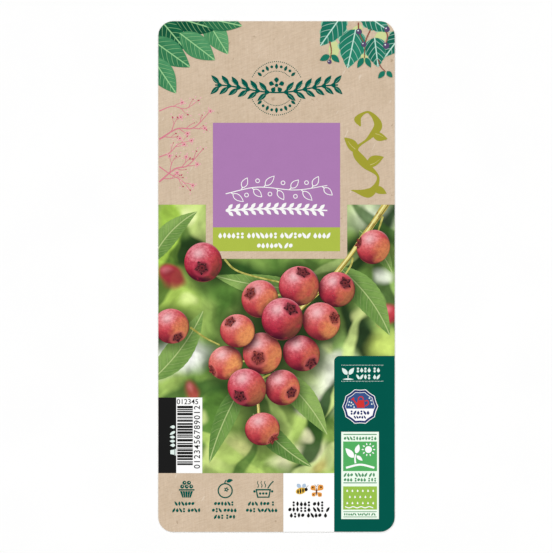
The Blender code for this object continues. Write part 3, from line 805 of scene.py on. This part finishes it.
def garden_ink():
    """The picture's ground: a garden far out of focus, soft leaves, glints of sky, shade behind the fruit."""
    recipe = Recipe("garden_ground", 0.46)
    point = recipe.point()
    drift = point.noise(42.0, 2.0, output="Color")
    centred = recipe.node("ShaderNodeVectorMath", {"operation": "SUBTRACT"}, [drift, (0.5, 0.5, 0.5)])
    bent = recipe.node("ShaderNodeVectorMath", {"operation": "MULTIPLY_ADD"},
                       [centred, (0.016, 0.016, 0.0), point])
    colour = recipe.mix(bent.noise(60.0, 1.0).smooth(0.3, 0.7), (70, 112, 44), (184, 208, 112))
    for kind, shapes in GARDEN:
        for x, y, long, wide, turn, soft, hue, strength in shapes:
            place = bent.local(x, y, (long, wide), radians(turn))
            far = place.length()
            if kind == "leaf":
                u, v = place.parts()
                far = abs(v) + u * u
            colour = recipe.mix(far.smooth(1.0 + soft * 0.6, 1.0 - soft * 1.25, strength), colour, hue)
    dapple = bent.noise(120.0, 2.0).smooth(0.30, 0.70)
    fleck = bent.noise(340.0, 2.0).smooth(0.34, 0.66)
    colour = recipe.shade(colour, 0.70 + dapple * 0.44 + fleck * 0.14)
    colour = recipe.mix((1.0 - open_light(point, DISCS, 6.0)) * 0.66, colour, (30, 46, 20))
    return recipe.printed(colour, 0.46)


# The parts of the label

def dress_grounds():
    """Gives the solids that keep their shape their real surfaces."""
    kraft = kraft_ink("kraft_face", 0.0)
    finishes = {
        "back_sheet": kraft_ink("kraft_back", 40.0), "header_kraft": kraft, "footer_kraft": kraft,
        "card_core": board_ink(), "picture_panel": garden_ink(), "footer_tile": "white_print",
        "code_tile": "white_print", "badge_tile": "mint_white", "side_panel": "bottle_green",
        "code_strip": "soft_black", "title_panel": "plum", "caption_band": "lime",
        "badge_square_upper": "fresh_green", "badge_square_lower": "leaf_lime",
    }
    for node, ink in finishes.items():
        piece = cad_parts[node]
        piece.data.materials.clear()
        piece.data.materials.append(flat_ink(ink) if isinstance(ink, str) else ink)


def crown_outlines(number):
    """A berry's five-toothed crown round its open mouth, foreshortened as it turns away on the ball."""
    x, y, radius, crown_x, crown_y, *_ = BERRIES[number]
    reach = hypot(crown_x, crown_y)
    height = sqrt(1 - reach * reach)
    outer = Vector((crown_x, crown_y)) / reach
    aside = Vector((-outer.y, outer.x))
    dice = random.Random(number)
    teeth = [dice.uniform(0.6, 1.2) for _ in range(5)]
    star, mouth = [], []
    for step in range(50):
        angle = 2 * pi * step / 50
        phase = 2.5 * angle + number
        tooth = teeth[int(phase / pi + 0.5) % 5]
        peak = (1 - abs(sin(phase)) ** 1.4) * tooth + dice.uniform(-0.08, 0.08)
        for loop, spread, lift in ((star, 0.22 + 0.15 * peak, 1.02 + 0.08 * peak), (mouth, 0.145, 1.0)):
            flat = cos(angle) * height * sin(spread) + reach * cos(spread)
            across = sin(angle) * sin(spread)
            loop.append(Vector((x, y)) + (outer * flat + aside * across) * radius * lift)
    return [star, mouth[::2]]


def lay_berries():
    """The printed berries and the dark crowns on them."""
    levels = [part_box(f"berry_{number + 1:02d}")[0].z for number in range(len(BERRIES))]
    crown_inks = [crown_ink("crown_red", 0.1), crown_ink("crown_maroon", 0.9)]
    for number, (x, y, radius, *_, ripe) in enumerate(BERRIES):
        node = f"berry_{number + 1:02d}"
        above = [disc for disc, level in zip(DISCS, levels)
                 if level > levels[number] and hypot(disc[0] - x, disc[1] - y) < disc[2] + radius + 3.0]
        skin = berry_ink(f"{node}_skin", number, above)
        ball = circle(x, y, radius, 64, BERRY_SHAPES[number % 3], number * 1.3)
        print_again(node, [clip(ball, PICTURE)], (skin, "berry_print"))
        print_over(node, (f"{node}_crown", crown_outlines(number), (crown_inks[ripe > 0.5], "berry_print")))


def lay_stalks():
    """Short stalks from the twig to the berries, each tucked under its own berry."""
    streak = Recipe("stalk_skin", 0.5).point().noise(420.0)
    skin = streaked_ink(streak, 0.36, 0.66, (150, 146, 66), (196, 190, 104))
    for number, points in STALKS.items():
        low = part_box(f"berry_{number:02d}")[0].z / MM
        lay(f"berry_{number:02d}_stalk", [line(points, 0.9, 0.3)], (skin, "stem_print"), low - STALK_DROP)


def lay_picture_leaves():
    """The picture's leaves, lightest where the sun comes through them."""
    for number, (x0, y0, x1, y1, width, bow, lightness) in enumerate(PICTURE_LEAVES):
        node = f"picture_leaf_{number + 1}"
        spots = [(x0 + (x1 - x0) * s / 8, y0 + (y1 - y0) * s / 8) for s in range(9)]
        near = [d for d in DISCS if min(hypot(d[0] - x, d[1] - y) for x, y in spots) < d[2] + 8]
        dark = blend((44, 88, 36), (108, 146, 66), lightness)
        light = blend((104, 150, 68), (176, 202, 116), lightness)
        ink = leaf_ink(f"{node}_face", (x0, y0, x1, y1, width), bow, dark, light, (204, 220, 150),
                       above=near, bold=0.24)
        outline = leaf((x0, y0), (x1, y1), width, 0.42, bow, 40, 0.9, 13, 0.035)
        print_again(node, [clip(outline, PICTURE)], (ink, "leaf_lime_print"))


def lay_stem():
    """The straw-coloured twig, with its lit and its shaded side."""
    recipe = Recipe("twig_bark", 0.5)
    point = recipe.point()
    streak = point.local(0.0, 0.0, (7.0, 0.9), radians(54)).noise(1.0)
    knots = point.noise(240.0, 2.0).smooth(0.58, 0.68)
    bark = streaked_ink(streak, 0.36, 0.64, (182, 162, 78), (220, 206, 114), knots)
    path = course(STEM_COURSE, 14)
    knobbly = stroke(path, 2.6, 0.6, lambda t: 1 + 0.1 * sin(t * 46) + 0.08 * sin(t * 19))
    print_again("picture_stem", [clip(knobbly, PICTURE)], (bark, "stem_print"))
    sunward = Vector((-0.8, 0.6))
    for name, shift, width, ink in (("stem_light", 0.35, 0.7, "pale_straw"),
                                    ("stem_shade", -0.85, 0.55, "moss_brown")):
        aside = [spot + sunward * shift * (1 - 0.6 * index / len(path)) for index, spot in enumerate(path)]
        print_over("picture_stem", (name, [clip(stroke(aside, width, 0.6), PICTURE)], ink))


def lay_corner_sprays():
    """Printed leaves in the two upper corners, with stems, small leaves and dark fruit on the right."""
    for kind, rows, slot, darks, lights, vein, widest, cut, look in (
            ("oval_leaf", OVAL_LEAVES, "leaf_green_print", ((0, 62, 44), (52, 132, 80)),
             ((6, 90, 58), (122, 186, 128)), (158, 210, 148), 0.45, (0.0, 30),
             {"veins": 8.0, "bold": 0.55}),
            ("round_leaf", ROUND_LEAVES, "teal_leaf_print", ((6, 88, 72), (22, 116, 92)),
             ((20, 112, 92), (52, 150, 120)), (196, 232, 216), 0.36, (0.0, 40, 0.9, 5, 0.16),
             {"rim": (156, 210, 178), "veins": 5.0, "bold": 0.6})):
        for number, (*place, lightness) in enumerate(rows):
            node = f"{kind}_{number + 1}"
            ink = leaf_ink(f"{node}_face", place, 0.0, blend(*darks, lightness), blend(*lights, lightness),
                           vein, widest, **look)
            outline = leaf(place[:2], place[2:4], place[4], widest, *cut)
            print_again(node, [clip(outline, CARD)], (ink, slot))
    pale = leaves((35.5, 106.5, 31.0, 97.0, 5.0), (46.0, 104.0, 41.0, 97.0, 4.6),
                  (37.5, 99.0, 37.0, 90.0, 3.8), (24.5, 100.0, 24.0, 90.5, 4.4))
    print_over("header_kraft", ("pale_spray_leaves", pale, "pale_spray"))
    stems = [line(*way) for way in (
        ([(34.6, 107.4), (35.0, 103.0), (36.7, 99.2)], 0.55, 0.4),
        ([(39.8, 104.6), (37.6, 99.0), (37.2, 92.4)], 0.5, 0.4),
        ([(22.5, 99.5), (23.2, 95.5), (22.6, 91.6)], 0.5, 0.4),
        ([(45.6, 104.8), (47.0, 101.8), (46.4, 98.6)], 0.5, 0.3),
        ([(42.8, 92.0), (44.2, 88.6), (46.2, 86.6)], 0.45, 0.4))]
    fruit = ((34.9, 103.6, 1.25), (36.9, 98.2, 1.1), (46.4, 97.6, 1.35), (46.7, 104.6, 1.2),
             (22.4, 90.8, 0.9))
    balls = [circle(*ball, 20) for ball in fruit]
    shine = [circle(x - 0.3 * radius, y + 0.3 * radius, 0.25 * radius, 10) for x, y, radius in fruit]
    young = leaves((22.4, 93.5, 18.3, 91.4, 2.6), (23.3, 93.7, 26.6, 90.6, 2.4),
                   (36.7, 92.5, 34.2, 88.2, 2.3), (37.7, 92.5, 39.9, 88.4, 2.2),
                   (45.7, 86.8, 43.0, 83.8, 2.2), (46.7, 86.8, 49.0, 84.2, 2.2))
    print_over("round_leaf_5", ("spray_stems", stems, "spray_bark"), ("spray_fruit", balls, "damson", 1),
               ("spray_fruit_shine", shine, "mist_white", 2), ("young_spray_leaves", young, "young_teal", 2))


def lay_garland():
    """The green garland across the header, a blossom at its middle, and dotted arcs over and under it."""
    half_span, height, sag = 26, 79.4, 1.6
    spine = [Vector((x, height - sag * cos(pi * x / half_span))) for x in range(-half_span, half_span + 1)]
    lean = {index: 135 if index < half_span else 45
            for index in range(2, 51, 4) if abs(index - half_span) > 3}
    shoots = {(index, side): leaf_shoot(5.3, 2.0, angle) for index, angle in lean.items() for side in (1, -1)}
    print_again("header_garland", [branching(spine, 0.6, 0.0, shoots)], "bottle_green")
    ribs = []
    for index, side in shoots:
        way = heading(lean[index] * side)
        start = spine[index] + way * 1.5
        bend = Vector((-way.y, way.x)) * 0.12
        ribs.append(line([start, start + way * 1.6 + bend, start + way * 3.1], 0.26, 0.5, 3))
    middle = Vector((0.0, 80.9))
    blossom = star_of_leaves(middle, 5, 18, 0.9, 3.4, 2.0) + [circle(*middle, 0.75, 16)]
    print_over("header_garland", ("garland_ribs", ribs, "sage"), ("garland_blossom", blossom, "bottle_green"))
    arcs, centre = [], Vector((0.0, 79.6))
    for around in (90, -90):
        for count, spacing, reach, dot in ((15, 4.3, 11.3, 0.24), (9, 5.2, 7.3, 0.21)):
            arcs += [circle(*(centre + heading(around + step * spacing) * reach), dot, 8)
                     for step in range(-count, count + 1)]
        for step in range(-4, 5):
            way = heading(around + step * 12.5)
            arcs.append(circle(*(centre + way * 9.3), 0.62, 14) if step % 2
                        else leaf(centre + way * 8.1, centre + way * 10.5, 1.25, 0.45, steps=10))
    print_over("header_kraft", ("garland_arcs", arcs, "bottle_green"))


def lay_tendril():
    """The broad olive tendril up the right side, drawn as with a brush."""
    path = course([(31.5, 36.5), (39.5, 35.5), (43.0, 42.0), (37.5, 47.5), (33.5, 53.5), (39.0, 58.5),
                   (43.0, 64.0), (39.0, 69.5), (34.5, 67.0), (35.5, 63.5)], 12)

    def pressure(t):
        """How broad the brush is along its way, fine at both ends."""
        ends = min(1.0, 0.12 + 9.0 * t) * min(1.0, 0.2 + 9.0 * (1.0 - t))
        return ends * (0.26 + 0.74 * sin(3.5 * pi * (t + 0.06)) ** 2)

    print_again("olive_tendril", [stroke(path, 4.2, 0.25, pressure)], "olive")
    side_leaves = leaves((38.2, 46.6, 45.4, 50.6, 4.4, 0.42, 0.6), (34.2, 52.4, 28.6, 58.8, 4.2, 0.42, -0.5),
                         (40.6, 60.6, 47.0, 58.2, 3.6, 0.42, -0.4), (40.8, 37.2, 46.6, 35.0, 3.2, 0.42, 0.4))
    ribs = [line(points, width, 0.6, 4) for points, width in (
        ([(39.6, 47.2), (41.6, 48.0), (43.6, 49.5)], 0.3), ([(33.4, 53.8), (31.6, 55.4), (30.2, 57.2)], 0.3),
        ([(41.8, 60.4), (43.4, 60.0), (45.2, 59.0)], 0.28))]
    print_over("olive_tendril", ("tendril_leaves", side_leaves, "olive"),
               ("tendril_ribs", ribs, "straw_rib", 1))


def lay_blossom_twigs():
    """Two pink twigs and three finer ones from the left edge, with buds, blossoms and fallen petals."""
    spots, wood = [], []
    for node, points, seed in (
            ("blossom_twig_1", [(-49.6, 58.0), (-42.0, 62.5), (-35.0, 63.0), (-28.0, 70.0)], 3),
            ("blossom_twig_2", [(-49.6, 40.0), (-43.0, 45.5), (-37.5, 47.0), (-31.0, 54.0)], 5)):
        dice = random.Random(seed)
        spine = course(points, 7)
        shoots = {}
        for count, index in enumerate(range(2, 20, 3)):
            side = 1 if count % 2 else -1
            length = dice.uniform(5.0, 8.5) * (1 - index / 34)
            angle, bend = dice.uniform(34, 52), -side * dice.uniform(18, 44)
            shoots[index, side] = twig_shoot(length, 0.34, angle, bend, spots)
        spots.append(spine[-1])
        twig = branching(spine, 0.62, 0.6, shoots)
        print_again(node, [twig], "rose_twig")
        wood += twig
    extra = []
    for points in ([(-49.6, 70.0), (-44.0, 72.0), (-38.5, 71.0), (-33.0, 74.5)],
                   [(-49.6, 50.5), (-45.0, 52.5), (-41.5, 56.0), (-36.0, 57.5)],
                   [(-49.6, 46.5), (-44.5, 43.0), (-40.0, 40.5), (-36.5, 36.5)]):
        spine = course(points, 7)
        shoots = {(index, side): twig_shoot(3.6, 0.3, 42, -side * 26, spots)
                  for index, side in ((8, 1), (12, -1), (16, 1))}
        spots.append(spine[-1])
        extra.append(branching(spine, 0.45, 0.6, shoots))
    dice = random.Random(5)
    buds, florets, hearts, haze = [], [], [], []
    for number, (x, y) in enumerate(spots):
        if number % 3 == 0:
            for k in range(5):
                a = radians(72 * k + 20 * number)
                florets.append(circle(x + 0.62 * cos(a), y + 0.62 * sin(a), 0.36, 10, 0.8, a))
            hearts.append(circle(x, y, 0.26, 8))
        else:
            buds.append(circle(x, y, dice.uniform(0.28, 0.5), 10, 0.6, dice.uniform(0, 3)))
        for k in range(3):
            a = 2.1 * k + number
            reach = dice.uniform(1.25, 1.5)
            haze.append(circle(x + reach * cos(a), y + reach * sin(a), 0.34, 8, 0.7, a))
    centres, petals = [], []
    for petal in haze:
        centre = sum(petal, Vector((0.0, 0.0))) / len(petal)
        if all((centre - other).length > 0.8 for other in wood + centres):
            centres.append(centre)
            petals.append(petal)
    print_over("header_kraft", ("fine_twigs", extra, "rose_twig"), ("fallen_petals", petals, "petal_pale", 1))
    print_over("blossom_twig_1", ("blossom_petals", florets, "blossom_pink"),
               ("blossom_buds", buds, "bud_red", 1), ("blossom_hearts", hearts, "heart_red", 1))


def lay_title():
    """A thin white sprig over a bold leaf row on the plum field, and two rows of marks on the lime band."""
    vine = course([(-21.5, 35.0), (-8.0, 37.8), (8.0, 36.6), (21.5, 38.5)], 12)
    print_again("title_sprig", [stroke(vine, 0.42, 0.3)], "paper_white")
    sprig, stalks = [], []
    for number, index in enumerate(range(2, 36, 4)):
        side = 1 if number % 2 else -1
        tangent = (vine[index + 1] - vine[index]).normalized()
        normal = Vector((-tangent.y, tangent.x)) * side
        way = tangent * cos(radians(50)) + normal * sin(radians(50))
        base = vine[index] + way * 0.9
        tip = base + way * (5.0 if number % 3 else 5.8)
        stalks.append(line([vine[index], base - way * 0.4 + normal * 0.05, base + way * 0.1], 0.4, 0.0, 2))
        sprig += [leaf(base, tip, 2.8, steps=14), leaf(base + way * 0.42, tip - way * 0.5, 2.14, steps=14)]
    print_over("title_sprig", ("sprig_line_leaves", sprig, "paper_white"),
               ("sprig_stalks", stalks, "paper_white", 1))
    balls = []
    for index, drop in ((12, 2.7), (16, -2.7), (20, 2.7), (24, -2.7), (28, 2.7), (8, -2.7)):
        balls += ring(vine[index].x, vine[index].y + drop, 0.8, 0.32, 20)
    print_over("title_panel", ("sprig_berries", balls, "paper_white"))
    spine = [Vector((-21.5 + 43.0 * i / 40, 27.9 + 0.8 * sin(pi * i / 40))) for i in range(41)]
    shoots = {(index, side): leaf_shoot(3.0, 1.5, 48, 10) for index in range(1, 40, 3) for side in (1, -1)}
    print_again("title_leaf_row", [branching(spine, 0.7, 0.2, shoots)], "paper_white")
    rows = mark_rows((-24.6, 24.6, 16.1, 18.6, 11), (-8.2, 8.4, 11.9, 14.3, 12))
    print_over("caption_band", ("caption_marks", rows, "paper_white"))


def lay_panel_head():
    """Dotted rules over and under a seedling and two rows of marks."""
    marks = [circle(27.6 + 0.62 * k, y, 0.16, 8) for y in (-37.5, -44.3) for k in range(29)]
    marks += leaves((30.0, -41.5, 27.7, -38.7, 1.8), (30.6, -41.5, 32.8, -38.6, 1.8), steps=10)
    marks += [line([(30.3, -43.0), (30.24, -42.4), (30.3, -41.7)], 0.36, 0.0, 3),
              leaf((27.9, -43.5), (32.7, -43.5), 0.7, 0.5, 0.1, 10)]
    marks += mark_rows((33.8, 45.0, -40.6, -38.5, 21), (33.8, 45.0, -43.5, -41.4, 22))
    print_over("side_panel", ("panel_marks", marks, "mist_white"))


def lay_seal():
    """The ten-sided white seal: an edge line, a red watering can before a blue sky, and rows of marks."""
    scallop = [heading(4.5 * step) * SEAL_REACH * (1 - 0.07 * abs(sin(2 * pi * step / 16)))
               for step in range(80)]
    outer, inner, field = ([p * scale for p in scallop] for scale in (0.96, 0.84, 0.81))
    print_again("seal_rosette", moved([scallop], *SEAL), "white_print")
    can = [shape((-1.4, -0.5), (1.9, -0.5), (1.6, 2.7), (-1.1, 2.7), (-1.25, 1.35), (-2.7, 3.05),
                 (-2.49, 3.6), (-2.74, 3.91), (-3.92, 2.99), (-3.67, 2.68), (-3.1, 2.75), (-1.35, 0.15)),
           line([(1.85, 2.3), (3.1, 2.5), (3.5, 1.2), (2.2, 0.2)], 0.5, 0.0, 5),
           line([(-0.9, 2.9), (-0.3, 4.0), (0.9, 4.0), (1.4, 2.9)], 0.5, 0.0, 5)]
    drops = [drop(x, y + 0.5, y - 0.4, 0.66) for x, y in (
        (-4.6, 2.0), (-3.7, 1.7), (-4.9, 0.7), (-3.9, 0.4), (-3.0, 0.9), (-2.6, -0.2), (4.6, 2.6), (3.9, 3.6),
        (4.9, 1.1))]
    marks = mark_rows((-4.2, 4.3, -3.5, -1.65, 31, False), (-2.7, 2.8, -5.2, -3.8, 32, False))
    print_over("seal_rosette", ("seal_edge", [outer, inner], "navy"),
               ("seal_sky", [clip(field, box(-8, 8, -0.9, 8))], "evening_blue"),
               ("seal_can", can, "poppy", 1), ("seal_drops", drops, "mist_white", 1),
               ("seal_marks", marks, "navy"), at=SEAL)


def lay_badge():
    """The badge tile's rules and marks, a field under the sun on one square and rain on the other."""
    left, right = 28.3, 42.4
    marks = [box(left, right, low, high) for low, high in (
        (-67.0, -66.6), (-87.5, -87.1), (-99.65, -99.35), (-101.85, -101.55))]
    marks += mark_rows(*((left + 0.2, right, *row) for row in (
        (-69.3, -67.6, 41, False), (-84.8, -83.0, 42), (-86.8, -85.1, 43), (-101.2, -100.0, 44))))
    print_over("badge_tile", ("badge_marks", marks, "leaf_grey"))
    sun = Vector((38.9, -73.2))
    field = [circle(*sun, 1.45, 24)] + star_of_leaves(sun, 10, 0, 1.95, 2.95, 0.55, 0.4)
    field += [line([(29.4, -80.9), (35.4, -79.6), (41.4, -80.9)], 0.85, 0.0, 8),
              line([(33.4, -79.0), (33.2, -77.0), (33.5, -75.2)], 0.75, 0.3, 5)]
    field += leaves((32.7, -76.6, 29.2, -72.6, 2.5), (33.9, -75.8, 36.4, -77.9, 1.5),
                    (33.6, -74.8, 34.9, -71.0, 2.0), steps=12)
    print_over("badge_square_upper", ("field_picture", field, "white_print"))
    rain = [line([(29.0 + 1.7 * k, -97.6 + 0.25 * (-1) ** k) for k in range(8)], 0.4, 0.0, 5)]
    for row in range(3):
        for k in range(6 - row % 2):
            x, y = 29.9 + 2.2 * k + 1.1 * (row % 2), -90.6 - 2.6 * row
            rain.append(drop(x, y + 0.65, y - 0.55, 0.75))
    print_over("badge_square_lower", ("rain_picture", rain, "white_print"))


def lay_number(name, body, size, x, y, turn):
    """A plain number in bold black, centred over a place."""
    number = bpy.data.curves.new(name, "FONT")
    number.body = body
    number.size = size * MM
    number.offset = NUMBER_BOLDNESS * size * MM
    number.extrude = DETAIL_FILM / 2 * MM
    number.align_x = "CENTER"
    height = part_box("code_tile")[1].z / MM + DETAIL_GAP + DETAIL_FILM / 2
    settle(bpy.data.objects.new(name, number), (x, y, height), turn, "soft_black")


def lay_code():
    """Plain stripes beside a column of numbers, and a small pot sign with its marks on the black strip."""
    dice = random.Random(17)
    module, left, right, y, last, foot = 0.27, -42.0, -35.4, -54.7, -79.4, -79.8
    stripes = []
    while y > last:
        wide = module * dice.choice((1, 2, 2, 3, 4))
        stripes.append(box(left, right, max(y - wide, foot), y))
        y -= wide + module * dice.choice((1, 1, 2))
    print_over("code_tile", ("code_stripes", stripes, "soft_black"))
    lay_number("number_row", "012345", 3.1, -37.6, -54.0, 0)
    column, start, pitch = -32.4, -80.4, 2.08
    for place in range(13):
        lay_number(f"number_{place}", str(place % 10), 3.6, column, start + pitch * place, 90)
    marks = turned(mark_row(-49.2, -38.6, -68.05, -65.75, 51), -44.0, -66.9, 90)
    marks += [shape((-43.2, -75.4), (-43.2, -73.2), (-44.9, -73.5), (-44.9, -75.1)),
              box(-43.0, -42.6, -75.7, -72.9)]
    print_over("code_strip", ("strip_marks", marks, "mist_white"))


def lay_sign(node, place, shapes, *details):
    """A sign in the footer: its shapes and then its details, drawn round its middle."""
    print_again(node, moved(shapes, *place), "bottle_green")
    print_over(node, *details, at=place)


def lay_basket():
    """A picking basket heaped with berries."""
    staves = [shape((low, -3.3), (low + 0.6, -3.3), (top + 0.95, -0.6), (top, -0.6))
              for low, top in ((-1.85 + 0.74 * k, -2.85 + 1.14 * k) for k in range(5))]
    berries = [(1.9 * k, 1.35) for k in (-1, 0, 1)] + [(-0.95, 2.95), (0.95, 2.95)]
    heap = [circle(*spot, 0.84, 18) for spot in berries]
    eyes = [circle(x + 0.15, y + 0.15, 0.27, 8) for x, y in berries]
    lay_sign("basket_sign", (-38.0, -90.2), staves + heap + [box(-3.3, 3.3, -0.35, 0.25)],
             ("basket_berry_eyes", eyes, "pale_kraft"))


def lay_fruit():
    """A berry drawn in outline, with its crown, a stalk and a leaf."""
    middle = Vector((0.5, 0.5))
    star = [middle + heading(9 * step) * (0.62 + 0.55 * (1 - abs(sin(2.5 * radians(9 * step)))))
            for step in range(40)]
    extras = [line([(-0.2, 2.9), (0, 3.8), (0.5, 4.5)], 0.5, 0.2, 4),
              leaf((0.6, 3.7), (3.3, 4.5), 1.5, bow=0.2, steps=12)]
    lay_sign("fruit_sign", (-21.7, -90.6), ring(0, 0, 2.95, 0.55, 40) + [star, circle(*middle, 0.3, 10)],
             ("fruit_leaf", extras, "bottle_green"))


def lay_pan():
    """A jam pan with a spoon, and steam over it."""
    walls = [shape((-low, foot), (low, foot), (top, brim), (-top, brim))
             for low, foot, top, brim in ((2.6, -3.4, 3.3, 0.3), (2.1, -2.9, 2.65, -0.3))]
    extras = [line([(x - 2.3, 0.9), (x - 2.0, 1.9), (x - 2.5, 2.8), (x - 2.2, 3.7)], 0.34, 0.3, 4)
              for x in (0.0, 1.5, 3.0)]
    extras += [line([(1.9, 0.6), (3.1, 2.4), (4.3, 3.6)], 0.5, 0.0, 4)]
    extras += [circle(x, -0.7, 0.5, 14) for x in (3.75, -3.75)]
    lay_sign("pot_sign", (-5.6, -90.2), walls + [circle(x, -1.6, 0.5, 14) for x in (-1.3, 0.0, 1.3)],
             ("pot_steam", extras, "bottle_green"))


def lay_insects():
    """A bee and a butterfly on the white tile."""
    wings = leaves((0.3, 0.8, -1.6, 3.0, 1.7, 0.62), (0.6, 0.8, 1.9, 3.1, 1.7, 0.62), steps=12)
    bands = [circle(2.2, 0.6, 0.72, 14), line([(2.4, 1.4), (2.7, 1.9), (3.2, 2.3)], 0.2, 0.3, 3)]
    for x in (-1.2, -0.15, 0.9):
        tall = 1.25 * sqrt(1 - (x / 2.2) ** 2)
        bands.append(drop(x, 0.25 * x - tall, 0.25 * x + tall, 0.72, 0.5, 8))
    print_over("footer_tile", ("bee_wings", wings, "wing_blue"),
               ("bee_body", [circle(0, 0, 2.2, 28, 0.62, 0.25)], "honey", 1),
               ("bee_bands", bands, "soft_black", 2), at=(10.3, -90.7))
    wings = leaves((0.2, 0.2, 2.7, 2.7, 2.6, 0.64), (-0.2, 0.2, -2.2, 2.5, 2.3, 0.64),
                   (0.2, -0.2, 2.2, -2.0, 2.0, 0.62), (-0.2, -0.2, -1.8, -1.9, 1.8, 0.62), steps=14)
    body = [circle(1.9, 1.9, 0.42, 12), circle(-1.55, 1.75, 0.38, 12), circle(1.5, -1.4, 0.30, 10),
            circle(-1.25, -1.3, 0.28, 10), leaf((0, -1.9), (0.05, 1.8), 0.62, 0.5, steps=8),
            line([(0.1, 1.9), (0.3, 2.6), (0.9, 3.1)], 0.18, 0.3, 3),
            line([(-0.1, 1.9), (-0.3, 2.5), (-0.8, 3.0)], 0.18, 0.3, 3)]
    print_over("footer_tile", ("butterfly_wings", wings, "marigold"), ("butterfly_body", body, "umber", 1),
               at=(16.9, -91.0))


def lay_footer_marks():
    """Rows of small marks under the three signs and the insects."""
    rows = []
    for left, right, count, seed in ((-44.0, -31.9, 2, 61), (-27.3, -16.2, 3, 65), (-12.9, 1.2, 2, 69)):
        for number in range(count):
            top, inset = -95.1 - 2.8 * number, 0.9 * ((number + seed) % 2)
            rows += mark_row(left + inset, right - inset, top - 1.9, top, seed + number)
    print_over("footer_kraft", ("footer_marks", rows, "bottle_green"))
    rows = []
    for number, (top, inset) in enumerate(((-95.1, 1.6), (-97.5, 0.0), (-99.9, 0.6))):
        rows += mark_row(5.0 + inset, 22.6 - inset, top - 2.15, top, 80 + number)
    print_over("footer_tile", ("tile_marks", rows, "soft_black"))


place_camera()
light_the_table()
lay_floor()
for lay_part in (dress_grounds, lay_berries, lay_stalks, lay_picture_leaves, lay_stem, lay_corner_sprays,
                 lay_garland, lay_tendril, lay_blossom_twigs, lay_title, lay_panel_head, lay_seal, lay_badge,
                 lay_code, lay_basket, lay_fruit, lay_pan, lay_insects, lay_footer_marks):
    lay_part()
